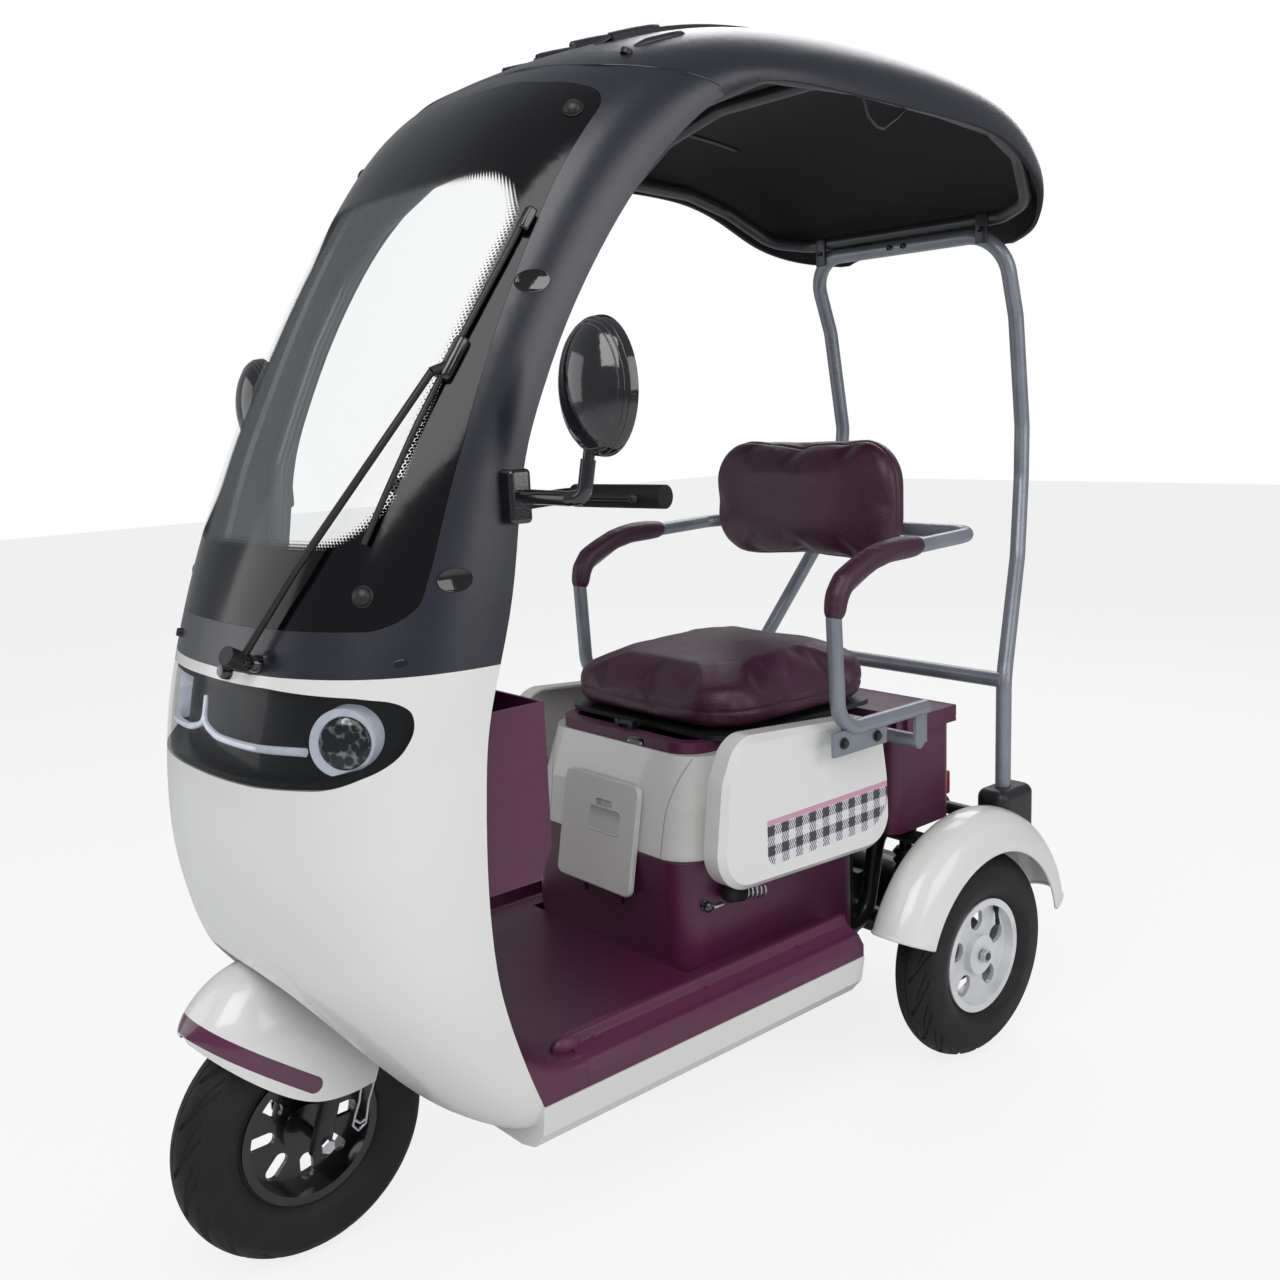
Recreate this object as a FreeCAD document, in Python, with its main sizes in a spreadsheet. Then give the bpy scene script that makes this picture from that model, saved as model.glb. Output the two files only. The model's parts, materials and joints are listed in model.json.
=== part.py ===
import FreeCAD, Part
import math
import os
from FreeCAD import Placement, Rotation, Vector

# Three wheeled car with a roof, a single front wheel and two rear wheels.
# Millimetres. +X is the car's left, -Y its front, +Z up. The origin is on the floor,
# midway between the front and rear ends. Lengths along the car are first given from
# the front axle and moved by the front axle's place.

SIZES = [
    ("wheel_base", 1128.0, "front axle to rear axle"),
    ("wheel_track", 661.0, "between the rear wheels' centre planes"),
    ("roof_height", 1718.0, "floor to the crest of the roof"),
    ("body_width", 620.0, "over the front shield"),
    ("tyre_diameter", 370.0, "all three tyres"),
    ("tyre_width", 80.0, "all three tyres"),
    ("rim_diameter", 204.0, "over the rim flanges"),
    ("rim_width", 62.0, "over the rim flanges"),
    ("hub_diameter", 70.0, "wheel hubs"),
    ("axle_diameter", 15.0, "front spindle and rear stub axles"),
    ("skin_wall", 6.0, "moulded shield, windshield frame and roof"),
    ("panel_wall", 4.0, "other moulded panels"),
    ("seat_gap", 0.3, "between parts that seat on each other"),
    ("overrun", 20.0, "how far a cutting tool passes its work"),
    ("glass_wall", 4.0, "windshield sheet"),
    ("glass_ledge", 24.0, "frame behind the windshield's edge"),
    ("visor_wall", 3.0, "lamp visor sheet"),
    ("lamp_depth", 26.0, "visor face to the bowl behind the lamps"),
    ("bowl_wall", 4.0, "lamp bowl"),
    ("lamp_ring_diameter", 80.0, "ring lamps"),
    ("lamp_ring_width", 12.0, "ring lamps, radially"),
    ("lamp_lens_diameter", 44.0, "lens inside each ring lamp"),
    ("frame_tube", 25.0, "chassis, roof and armrest tubes"),
    ("hoop_tube", 28.0, "rear hoop"),
    ("rail_tube", 32.0, "chassis floor rails"),
    ("rail_spread", 300.0, "between the floor rails"),
    ("steer_rake", 18.0, "steering axis from vertical, degrees"),
    ("steer_offset", 30.0, "front axle ahead of the steering axis"),
    ("fork_spread", 118.0, "between the fork legs"),
    ("fork_tube", 28.0, "fork legs"),
    ("fork_height", 290.0, "front axle to the top of the fork crown"),
    ("crown_depth", 24.0, "fork crown"),
    ("head_tube_length", 115.0, "steering head"),
    ("head_tube_diameter", 46.0, "steering head"),
    ("steerer_diameter", 25.0, "steering stem"),
    ("steerer_top", 830.0, "front axle to the handlebar clamp, along the axis"),
    ("bar_tube", 22.0, "handlebar"),
    ("bar_half_width", 332.0, "handlebar centre to end"),
    ("bar_height", 1043.0, "grips above the floor"),
    ("bar_reach", 432.0, "grips behind the front axle"),
    ("grip_diameter", 32.0, "handlebar grips"),
    ("grip_length", 130.0, "handlebar grips"),
    ("floor_height", 290.0, "top of the floor pan"),
    ("sill_height", 249.0, "lower edge of the floor pan"),
    ("belly_height", 168.0, "underside of the belly"),
    ("floor_start", 283.0, "front axle to the floor pan's front"),
    ("floor_end", 871.0, "front axle to the floor pan's rear"),
    ("tunnel_width", 168.0, "cover over the steering column"),
    ("seat_box_width", 404.0, "box under the seat"),
    ("seat_box_front", 562.0, "front axle to the box's front"),
    ("seat_box_end", 1022.0, "front axle to the box's rear"),
    ("seat_box_lean", 38.0, "how far the box's front leans back"),
    ("seat_box_split", 462.0, "floor to the joint of the box's two halves"),
    ("seat_box_top", 622.0, "floor to the top of the box"),
    ("hatch_width", 190.0, "door in the front of the seat box"),
    ("hatch_height", 182.0, "door in the front of the seat box"),
    ("hatch_wall", 9.0, "door in the front of the seat box"),
    ("hatch_foot", 387.0, "floor to the door's lower edge"),
    ("cushion_width", 440.0, "seat cushion"),
    ("cushion_front", 642.0, "front axle to the cushion's front"),
    ("cushion_length", 412.0, "seat cushion"),
    ("cushion_height", 652.0, "floor to the cushion's underside"),
    ("cushion_depth", 98.0, "seat cushion"),
    ("seat_pan_wall", 8.0, "plate under the cushion"),
    ("back_width", 448.0, "backrest"),
    ("back_height", 235.0, "backrest"),
    ("back_depth", 72.0, "backrest"),
    ("back_front", 1058.0, "front axle to the backrest's face"),
    ("back_foot", 866.0, "floor to the backrest's lower edge"),
    ("arm_half_width", 314.0, "centre to the armrest tubes"),
    ("arm_height", 925.0, "armrest tubes above the floor"),
    ("arm_foot", 655.0, "lower armrest tubes above the floor"),
    ("pad_diameter", 44.0, "armrest pads"),
    ("box_width", 480.0, "rear box"),
    ("box_front", 1034.0, "front axle to the rear box"),
    ("box_length", 168.0, "rear box"),
    ("box_top", 580.0, "floor to the rear box's rim"),
    ("lid_depth", 30.0, "rear box lid"),
    ("lid_lip", 8.0, "lid past the box, each side"),
    ("fender_crown", 74.0, "rear fender's crown past the tyre"),
    ("fender_width", 122.0, "rear fenders"),
    ("side_panel_wall", 40.0, "side panels"),
    ("side_panel_gap", 42.0, "side panels from the seat box"),
    ("mirror_half_span", 440.0, "centre to the mirror heads"),
    ("mirror_height", 1187.0, "mirror heads' centres above the floor"),
    ("mirror_width", 124.0, "mirror heads"),
    ("mirror_tall", 160.0, "mirror heads"),
    ("mirror_depth", 44.0, "mirror heads"),
    ("hoop_back", 1452.0, "front axle to the rear hoop's farthest tube centre"),
    ("front_reach", 185.0, "front axle to the front end"),
]


class Dim:
    """A size that knows its value and the sheet expression that gives it."""

    def __init__(self, value, text):
        self.value = value
        self.text = text

    def __float__(self):
        return self.value

    def __add__(self, other):
        return combine(self, other, "+", float(self) + float(other))

    def __radd__(self, other):
        return combine(other, self, "+", float(self) + float(other))

    def __sub__(self, other):
        return combine(self, other, "-", float(self) - float(other))

    def __rsub__(self, other):
        return combine(other, self, "-", float(other) - float(self))

    def __mul__(self, other):
        return combine(self, other, "*", float(self) * float(other))

    def __rmul__(self, other):
        return combine(other, self, "*", float(self) * float(other))

    def __truediv__(self, other):
        return combine(self, other, "/", float(self) / float(other))

    def __neg__(self):
        return Dim(-self.value, "(-%s)" % self.text)


def text_of(item):
    return item.text if isinstance(item, Dim) else repr(float(item))


def combine(left, right, sign, value):
    return Dim(value, "(%s %s %s)" % (text_of(left), sign, text_of(right)))


def fill_sheet(doc):
    """Write the sizes to a spreadsheet and return them by name."""
    sheet = doc.addObject("Spreadsheet::Sheet", "Sizes")
    for row, (alias, value, note) in enumerate(SIZES, start=1):
        sheet.set("A%d" % row, note)
        sheet.set("B%d" % row, repr(value))
        sheet.setAlias("B%d" % row, alias)
    doc.recompute()
    return {alias: Dim(float(sheet.get(alias)), "Sizes." + alias) for alias, _, _ in SIZES}


class Named:
    def __init__(self, values):
        self.__dict__.update(values)


doc = FreeCAD.newDocument("ThreeWheeledCar")
d = Named(fill_sheet(doc))

# The front axle's place, and the shares that give places on the body
rear_reach = d.hoop_back + d.hoop_tube / 2
axle_y = (d.front_reach - rear_reach) / 2
axle_z = d.tyre_diameter / 2
half_body = d.body_width / 2


def along(length):
    """Place along the car of a length measured from the front axle."""
    return axle_y + length


# Shares of wheel base, roof height and half body width for each rib of the outer skin:
# edge y, edge z, half width, centre y, centre z
SKIN_SHARES = [
    (0.234, 0.100, 0.720, 0.170, 0.100),
    (0.212, 0.116, 0.880, 0.134, 0.115),
    (0.190, 0.136, 0.966, 0.094, 0.136),
    (0.163, 0.175, 0.990, 0.034, 0.175),
    (0.129, 0.244, 1.000, -0.054, 0.244),
    (0.121, 0.291, 1.000, -0.075, 0.291),
    (0.119, 0.349, 1.000, -0.092, 0.349),
    (0.126, 0.419, 1.000, -0.086, 0.419),
    (0.134, 0.466, 1.000, -0.074, 0.466),
    (0.180, 0.544, 1.000, -0.037, 0.553),
    (0.194, 0.636, 1.000, 0.032, 0.652),
    (0.226, 0.685, 1.000, 0.094, 0.722),
    (0.266, 0.740, 1.006, 0.157, 0.792),
    (0.321, 0.797, 1.026, 0.225, 0.857),
    (0.384, 0.850, 1.048, 0.279, 0.905),
    (0.472, 0.900, 1.078, 0.346, 0.945),
    (0.539, 0.922, 1.113, 0.450, 0.970),
    (0.613, 0.926, 1.145, 0.567, 0.991),
    (0.719, 0.921, 1.184, 0.700, 1.001),
    (0.834, 0.917, 1.212, 0.833, 1.000),
    (0.939, 0.915, 1.212, 0.949, 0.992),
    (1.030, 0.909, 1.194, 1.060, 0.982),
    (1.105, 0.890, 1.164, 1.150, 0.962),
    (1.162, 0.864, 1.110, 1.222, 0.925),
    (1.210, 0.846, 0.980, 1.258, 0.890),
    (1.250, 0.838, 0.830, 1.275, 0.865),
    (1.274, 0.834, 0.660, 1.279, 0.849),
]
# Control points of one rib, across in half widths and out from the edge to the centre
ARCH_SHARES = [(-1, 0), (-1, 0.45), (-0.715, 0.867), (-0.26, 1), (0, 1),
               (0.26, 1), (0.715, 0.867), (1, 0.45), (1, 0)]


def clamped(count, degree=3):
    """Knots and multiplicities of a clamped B-spline."""
    spans = count - degree
    knots = [float(i) for i in range(spans + 1)]
    return knots, [degree + 1] + [1] * (spans - 1) + [degree + 1]


def spline_edge(points):
    knots, mults = clamped(len(points))
    curve = Part.BSplineCurve()
    curve.buildFromPolesMultsKnots(points, mults, knots, False, 3)
    return curve


def skin_rows(shares, length, height, half_width, start_y, start_z, inset=0, over=0):
    """Control points of a skin, moved inward by inset and past its edge by over."""
    rows = []
    for edge_y, edge_z, wide, centre_y, centre_z in shares:
        edge = Vector(0, start_y + edge_y * float(length), start_z + edge_z * float(height))
        centre = Vector(0, start_y + centre_y * float(length), start_z + centre_z * float(height))
        out = (centre - edge).normalize()
        centre = centre - out * float(inset)
        edge = edge - out * float(over)
        reach = wide * float(half_width) - float(inset)
        rows.append([Vector(reach * a, 0, 0) + edge + (centre - edge) * b for a, b in ARCH_SHARES])
    return rows


def skin_solid(rows):
    """Closed solid under a skin: the skin, the face across its edges and two ends."""
    knots_u, mults_u = clamped(len(rows))
    knots_v, mults_v = clamped(len(rows[0]))
    skin = Part.BSplineSurface()
    skin.buildFromPolesMultsKnots(rows, mults_u, mults_v, knots_u, knots_v, False, False, 3, 3)
    left = spline_edge([row[0] for row in rows]).toShape()
    right = spline_edge([row[-1] for row in rows]).toShape()
    faces = [skin.toShape(), Part.makeRuledSurface(left, right)]
    for row in (rows[0], rows[-1]):
        faces.append(Part.Face(Part.Wire([spline_edge(row).toShape(), Part.makeLine(row[-1], row[0])])))
    shell = Part.Shell(faces)
    shell.sewShape()
    solid = Part.Solid(shell)
    if solid.Volume < 0:
        solid.reverse()
    return solid


def body_skin(inset=0, over=0):
    return skin_solid(skin_rows(SKIN_SHARES, d.wheel_base, d.roof_height, half_body,
                                float(axle_y), 0.0, inset, over))


edge_line = spline_edge([Vector(0, float(along(row[0] * d.wheel_base)), row[1] * float(d.roof_height))
                         for row in SKIN_SHARES])
EDGE_POINTS = edge_line.discretize(Number=400)


def edge_y(height):
    """Place along the car of the shield's side edge at a height."""
    for low, high in zip(EDGE_POINTS, EDGE_POINTS[1:]):
        if low.z <= float(height) <= high.z:
            part = (float(height) - low.z) / (high.z - low.z)
            return low.y + (high.y - low.y) * part
    raise ValueError("no edge at this height")


# Tools that make shapes
def half_space(origin, normal, size=6000.0):
    """Large block on the side of a plane that its normal points to."""
    face = Part.makePlane(size, size, origin, normal)
    face.translate(origin - face.CenterOfMass)
    return face.extrude(Vector(normal).normalize() * size)


def polygon_face(points):
    return Part.Face(Part.makePolygon(list(points) + [points[0]]))


def round_corner(before, corner, after, bend):
    """Start, middle and end of the arc that rounds a corner."""
    back = (before - corner).normalize()
    ahead = (after - corner).normalize()
    half = (math.pi - back.getAngle(ahead)) / 2
    reach = min(float(bend) * math.tan(half), 0.48 * min((corner - before).Length, (after - corner).Length))
    radius = reach / math.tan(half)
    middle = corner + (back + ahead).normalize() * (radius / math.cos(half) - radius)
    return corner + back * reach, middle, corner + ahead * reach


def round_face(points, bend):
    """Face of a closed polygon with every corner rounded."""
    count = len(points)
    arcs = [round_corner(points[i - 1], points[i], points[(i + 1) % count], bend) for i in range(count)]
    edges = []
    for i, (start, middle, end) in enumerate(arcs):
        edges.append(Part.Arc(start, middle, end).toShape())
        edges.append(Part.makeLine(end, arcs[(i + 1) % count][0]))
    return Part.Face(Part.Wire(edges))


def front_prism(outline, y_low, y_high, bend):
    """Prism along Y from an outline of (x, z) pairs given for the left half, top to bottom."""
    left = [Vector(float(x), float(y_low), float(z)) for x, z in outline if float(x) > 1e-6]
    right = [Vector(-p.x, p.y, p.z) for p in reversed(left)]
    return round_face(left + right, bend).extrude(Vector(0, float(y_high) - float(y_low), 0))


def tube_path(points, bend):
    """Wire of straight runs joined by tangent arcs."""
    points = [Vector(float(p[0]), float(p[1]), float(p[2])) for p in points]
    edges = []
    start = points[0]
    for before, corner, after in zip(points, points[1:], points[2:]):
        first, middle, last = round_corner(before, corner, after, bend)
        edges.append(Part.makeLine(start, first))
        edges.append(Part.Arc(first, middle, last).toShape())
        start = last
    edges.append(Part.makeLine(start, points[-1]))
    return Part.Wire(edges)


def tube(points, diameter, bend):
    """Solid round tube along a path."""
    path = tube_path(points, bend)
    first = path.OrderedVertexes[0].Point
    second = path.OrderedVertexes[1].Point
    ring = Part.Wire(Part.makeCircle(float(diameter) / 2, first, second - first))
    return path.makePipeShell([ring], True, False)


def rod(start, end, diameter):
    start = Vector(float(start[0]), float(start[1]), float(start[2]))
    end = Vector(float(end[0]), float(end[1]), float(end[2]))
    return Part.makeCylinder(float(diameter) / 2, (end - start).Length, start, end - start)


def block(x, y, z):
    """Box from (low, high) pairs."""
    low = Vector(float(x[0]), float(y[0]), float(z[0]))
    return Part.makeBox(float(x[1]) - low.x, float(y[1]) - low.y, float(z[1]) - low.z, low)


def mirrored(shape):
    return shape.mirror(Vector(0, 0, 0), Vector(1, 0, 0))


def fuse(shapes):
    first, rest = shapes[0], list(shapes[1:])
    return first.multiFuse(rest).removeSplitter() if rest else first


def both_sides(shape):
    return Part.makeCompound([shape, mirrored(shape)])


parts = []


def keep(obj, label):
    """Name a sub-part and add it to those that are written out."""
    obj.Label = label
    parts.append(obj)
    return obj


def keep_shape(label, shape):
    obj = doc.addObject("Part::Feature", label)
    obj.Shape = shape
    obj.Placement = Placement()
    return keep(obj, label)


# Tools that make sketched bodies
def plane_of(body, role):
    return next(f for f in body.Origin.OriginFeatures if f.Role == role)


def bind(obj, name, dim):
    obj.setExpression(name, text_of(dim))


def new_body(label):
    return doc.addObject("PartDesign::Body", label + "_body")


def new_sketch(body, role, offset=0):
    sketch = body.newObject("Sketcher::SketchObject", body.Name + "_sketch")
    sketch.AttachmentSupport = [(plane_of(body, role), "")]
    sketch.MapMode = "FlatFace"
    bind(sketch, "AttachmentOffset.Base.z", offset)
    return sketch


def draw_polygon(sketch, corners):
    """Closed polygon whose corners are held by sheet expressions."""
    import Sketcher
    first = sketch.GeometryCount
    points = [Vector(float(u), float(v), 0) for u, v in corners]
    count = len(points)
    for i in range(count):
        sketch.addGeometry(Part.LineSegment(points[i], points[(i + 1) % count]), False)
    for i in range(count):
        sketch.addConstraint(Sketcher.Constraint("Coincident", first + i, 2, first + (i + 1) % count, 1))
    for i, corner in enumerate(corners):
        for axis, kind, item in ((-2, "DistanceX", corner[0]), (-1, "DistanceY", corner[1])):
            if float(item) == 0:
                sketch.addConstraint(Sketcher.Constraint("PointOnObject", first + i, 1, axis))
                continue
            index = sketch.addConstraint(Sketcher.Constraint(kind, -1, 1, first + i, 1, float(item)))
            name = "%s%d" % (kind, first + i)
            sketch.renameConstraint(index, name)
            if isinstance(item, Dim):
                bind(sketch, "Constraints." + name, item)


def draw_circle(sketch, u, v, radius):
    import Sketcher
    first = sketch.GeometryCount
    sketch.addGeometry(Part.Circle(Vector(float(u), float(v), 0), Vector(0, 0, 1), float(radius)), False)
    index = sketch.addConstraint(Sketcher.Constraint("Radius", first, float(radius)))
    sketch.renameConstraint(index, "Radius%d" % first)
    bind(sketch, "Constraints.Radius%d" % first, radius)
    for axis, kind, item in ((-2, "DistanceX", u), (-1, "DistanceY", v)):
        if float(item) == 0:
            sketch.addConstraint(Sketcher.Constraint("PointOnObject", first, 3, axis))
            continue
        index = sketch.addConstraint(Sketcher.Constraint(kind, -1, 1, first, 3, float(item)))
        name = "%s%d" % (kind, first)
        sketch.renameConstraint(index, name)
        bind(sketch, "Constraints." + name, item)


def pad(body, sketch, length, both=False):
    feature = body.newObject("PartDesign::Pad", body.Name + "_pad")
    feature.Profile = sketch
    bind(feature, "Length", length)
    feature.Midplane = both
    doc.recompute()
    return feature


def pocket(body, sketch, length, both=False, back=False):
    """Cut a pocket, and make sure that it takes material away."""
    before = body.Shape.Volume
    feature = body.newObject("PartDesign::Pocket", body.Name + "_pocket")
    feature.Profile = sketch
    bind(feature, "Length", length)
    feature.Midplane = both
    feature.Reversed = back
    doc.recompute()
    if body.Shape.Volume >= before:
        raise RuntimeError("pocket of %s cuts nothing" % body.Name)
    return feature


def revolve(body, sketch, angle=360.0):
    feature = body.newObject("PartDesign::Revolution", body.Name + "_turn")
    feature.Profile = sketch
    feature.ReferenceAxis = (sketch, ["H_Axis"])
    feature.Angle = angle
    doc.recompute()
    return feature


def edges_where(shape, test):
    return ["Edge%d" % (i + 1) for i, edge in enumerate(shape.Edges) if test(edge)]


def runs_along(edge, axis):
    """True for a straight edge along an axis, given as 0, 1 or 2."""
    box = edge.BoundBox
    spans = [box.XLength, box.YLength, box.ZLength]
    others = [span for i, span in enumerate(spans) if i != axis]
    return spans[axis] > 1e-3 and max(others) < 1e-3


def fillet(body, radius, test):
    base = body.Tip
    names = edges_where(base.Shape, test)
    feature = body.newObject("PartDesign::Fillet", body.Name + "_fillet")
    feature.Base = (base, names)
    bind(feature, "Radius", radius)
    doc.recompute()
    return feature


def hollow(body, wall):
    """Hollow a padded body to a wall, open at the top."""
    base = body.Tip
    top = base.Shape.BoundBox.ZMax
    names = ["Face%d" % (i + 1) for i, face in enumerate(base.Shape.Faces)
             if face.BoundBox.ZMin > top - 1e-3]
    feature = body.newObject("PartDesign::Thickness", body.Name + "_hollow")
    feature.Base = (base, names)
    bind(feature, "Value", wall)
    feature.Reversed = True
    doc.recompute()
    return feature


def place(obj, x, y, z, rotation=Rotation()):
    obj.Placement = Placement(Vector(float(x), float(y), float(z)), rotation)
    for name, item in (("x", x), ("y", y), ("z", z)):
        bind(obj, "Placement.Base." + name, item)


# Body skins that several sub-parts share
skin_outer = body_skin()
skin_inner = body_skin(d.skin_wall, d.overrun)
skin_under_glass = body_skin(d.glass_wall, d.overrun)
skin_under_visor = body_skin(d.visor_wall, d.overrun)
skin_lamp_back = body_skin(d.lamp_depth, d.overrun)
skin_bowl_back = body_skin(d.lamp_depth + d.bowl_wall, d.overrun)
body_shell = skin_outer.cut(skin_inner)

# Heights and shares on the skin
cowl_height = 0.500 * d.roof_height
skirt_height = 0.166 * d.roof_height
SEAM_SHARES = ((0.483, 0.9127), (0.388, 0.951))
GLASS_SHARES = [(0, 0.9302), (0.4355, 0.9267), (0.7742, 0.9156), (0.9323, 0.904), (0.9194, 0.8382), (0.9258, 0.7334),
                (0.9387, 0.6577), (0.929, 0.5763), (0.9161, 0.532), (0, 0.532)]
VISOR_SHARES = [(0, 0.4924), (0.4516, 0.4919), (0.8065, 0.4878), (0.9323, 0.4831), (0.9516, 0.4627), (0.9226, 0.4395), (0.7742, 0.4243), (0.4387, 0.422), (0, 0.422)]
ARCH_OPENING_SHARES = [(0, 0.2683), (0.2, 0.2678), (0.3806, 0.2602), (0.4903, 0.2456), (0.5581, 0.2183), (0.5677, 0.1863), (0.5677, 0.0349)]


def outline(shares, grow=0):
    """Outline of (x, z) pairs from shares of half body width and roof height."""
    middle = sum(z for _, z in shares) / len(shares) * float(d.roof_height)
    pairs = []
    for x, z in shares:
        up = z * float(d.roof_height)
        side = x * float(half_body)
        pairs.append((side + (float(grow) if x else 0), up + float(grow) * math.copysign(1, up - middle)))
    return pairs


front_end = float(axle_y) - float(d.front_reach) - float(d.overrun)
nose_back = float(along(0.30 * d.wheel_base))
glass_back = float(along(0.50 * d.wheel_base))
visor_back = float(along(0.075 * d.wheel_base))
cowl_plane = half_space(Vector(0, 0, float(cowl_height)), Vector(0, 0, 1))
skirt_plane = half_space(Vector(0, 0, float(skirt_height)), Vector(0, 0, 1))
seam_low = Vector(0, float(along(SEAM_SHARES[0][0] * d.wheel_base)), SEAM_SHARES[0][1] * float(d.roof_height))
seam_high = Vector(0, float(along(SEAM_SHARES[1][0] * d.wheel_base)), SEAM_SHARES[1][1] * float(d.roof_height))
seam_normal = Vector(1, 0, 0).cross(seam_low - seam_high)
if seam_normal.z < 0:
    seam_normal = seam_normal * -1
seam_plane = half_space(seam_low, seam_normal)

# Places on the frame and panels, as shares of half body width, wheel base and roof height
DOWN_TUBE_SHARES = [(0, 0.133, 0.2864), (0, 0.2039, 0.1746), (0, 0.2172, 0.1251)]
RAIL_SHARES = [(0.4839, 0.2172, 0.1251), (0.4839, 0.9397, 0.1251), (0.4839, 0.9752, 0.2235), (0.4839, 1.1525, 0.2235)]
BRACE_SHARES = [(0, 0.1099, 0.291), (0.8065, 0.0762, 0.326)]
ROOF_TUBE_SHARES = [(0.6935, 0.2128, 0.1251), (0.6935, 0.133, 0.195), (0.7355, 0.0993, 0.2561), (0.8129, 0.0745, 0.3318), (0.8516, 0.0745, 0.4075), (0.9032, 0.0993, 0.486),
                    (0.9226, 0.1516, 0.5442), (0.9226, 0.1676, 0.6362), (0.9258, 0.2004, 0.6845), (0.929, 0.2411, 0.7404), (0.9387, 0.2943, 0.7974),
                    (0.9677, 0.3582, 0.8504), (1.0258, 0.461, 0.901), (1.0806, 0.5674, 0.9296), (1.1355, 0.719, 0.9302), (1.1484, 0.8865, 0.9243),
                    (1.129, 1.016, 0.9179), (1.0903, 1.0993, 0.9005), (0.9677, 1.1791, 0.8655), (0.7258, 1.2145, 0.8574), (0, 1.2145, 0.8574)]
ROOF_BOW_SHARES = [(1.1419, 0.8865, 0.9249), (0.8065, 0.8865, 0.9587), (0.3548, 0.8865, 0.9761), (0, 0.8865, 0.9773)]
HOOP_SHARES = [(0.9677, 1.1303, 0.195), (0.9677, 1.1303, 0.3813), (0.7935, 1.2394, 0.5006), (0.7161, 1.281, 0.5821), (0.7032, 1.2872, 0.6403),
               (0.7161, 1.2598, 0.7567), (0.729, 1.2145, 0.8417), (0, 1.2145, 0.8417)]
HOOP_BAR_SHARES = [(0.9677, 1.1277, 0.3783), (0, 1.1277, 0.3783)]
ARM_SHARES = [(1.0129, 0.9051, 0.3783), (1.0129, 0.7092, 0.3783), (1.0129, 0.7004, 0.5017), (1.0129, 0.8023, 0.5349), (1.0129, 1.0372, 0.5402), (0, 1.0372, 0.5402)]
PAD_SHARES = [(1.0129, 0.7021, 0.4802), (1.0129, 0.7004, 0.5017), (1.0129, 0.8023, 0.5349), (1.0129, 0.8972, 0.537)]
BAR_SHARES = [(1.071, 0.383, 0.6083), (0.5323, 0.359, 0.6083), (0.3613, 0.2766, 0.6024), (0.1548, 0.2527, 0.5646), (0, 0.2527, 0.5646)]
MIRROR_ARM_SHARES = [(1.0258, 0.1862, 0.6182), (1.2903, 0.1968, 0.617), (1.3613, 0.2021, 0.6182), (1.3806, 0.2057, 0.6432)]
WIPER_ARM_SHARES = [(0.3613, 0.5111), (0.5484, 0.5733), (0.7613, 0.6577), (0.8452, 0.7061)]
WIPER_BLADE_SHARES = [(0.7645, 0.5914), (0.7968, 0.6286), (0.8258, 0.6694), (0.8516, 0.7101), (0.8774, 0.7509), (0.8968, 0.7858), (0.9065, 0.8178)]
LEG_LINE_SHARES = [(0.1285, 0.2468), (0.1348, 0.2241), (0.1525, 0.2008), (0.1835, 0.1816), (0.2216, 0.1711), (0.2506, 0.1688)]
TUNNEL_SHARES = [(0.0532, 0.4998), (0.2793, 0.4998), (0.2092, 0.3492), (0.2004, 0.2648), (0.2506, 0.1746), (0.2506, 0.163), (0.0532, 0.163)]
POCKET_SHARES = [(0.1064, 0.326), (0.2057, 0.326), (0.2234, 0.3492), (0.2234, 0.4627), (0.1064, 0.4627)]
FLOOR_SHARES = [(0.971, 0.1451), (0.971, 0.1566), (0.9355, 0.1653), (0.9065, 0.1671), (0.8516, 0.1723), (0.8419, 0.181), (0.8, 0.181), (0.7677, 0.1688)]
BELLY_SHARES = [(0.9774, 0.1449), (0.9548, 0.1193), (0.8871, 0.1048), (0.7903, 0.1001)]
PANEL_SHARES = [(0.5426, 0.3912), (0.5142, 0.3522), (0.4947, 0.2515), (0.8617, 0.2421), (0.8564, 0.3143), (0.8404, 0.3754)]
FENDER_SHARES = [(0.930, 0.638), (0.968, 0.690), (1.048, 0.706), (1.135, 0.695), (1.210, 0.640), (1.245, 0.568), (1.252, 0.527)]
NOSE_FENDER_SHARES = [(-0.540, 0.346, 0.227, -0.557, 0.373), (-0.481, 0.314, 0.625, -0.540, 0.419),
                      (-0.378, 0.265, 0.864, -0.497, 0.508), (-0.243, 0.211, 0.977, -0.427, 0.594),
                      (-0.122, 0.178, 1.000, -0.311, 0.660), (-0.027, 0.181, 1.000, -0.135, 0.686),
                      (0.070, 0.205, 0.977, 0.060, 0.692), (0.150, 0.235, 0.909, 0.180, 0.680)]


def spots(shares):
    """Points from shares of half body width, wheel base and roof height."""
    return [Vector(x * float(half_body), float(along(y * d.wheel_base)), z * float(d.roof_height))
            for x, y, z in shares]


def profile(shares):
    """Points in the car's middle plane from shares of wheel base and roof height."""
    return [Vector(0, float(along(y * d.wheel_base)), z * float(d.roof_height)) for y, z in shares]


def section(shares):
    """Points across the car from shares of half body width and roof height."""
    return [Vector(x * float(half_body), 0, z * float(d.roof_height)) for x, z in shares]


def full_run(points):
    """A half run from the left to the middle, carried on to the right."""
    return points[:-1] + [Vector(-p.x, p.y, p.z) for p in reversed(points[:-1])]


def side_prism(face, half_width):
    """Prism across the car from a face in its middle plane."""
    return face.translated(Vector(-float(half_width), 0, 0)).extrude(Vector(2 * float(half_width), 0, 0))


def shifted(points, distance, normal):
    """Points of an open line moved square to it, to the left as seen against the normal."""
    moved = []
    for i, point in enumerate(points):
        before = points[max(i - 1, 0)]
        after = points[min(i + 1, len(points) - 1)]
        moved.append(point + normal.cross(after - before).normalize() * float(distance))
    return moved


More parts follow.
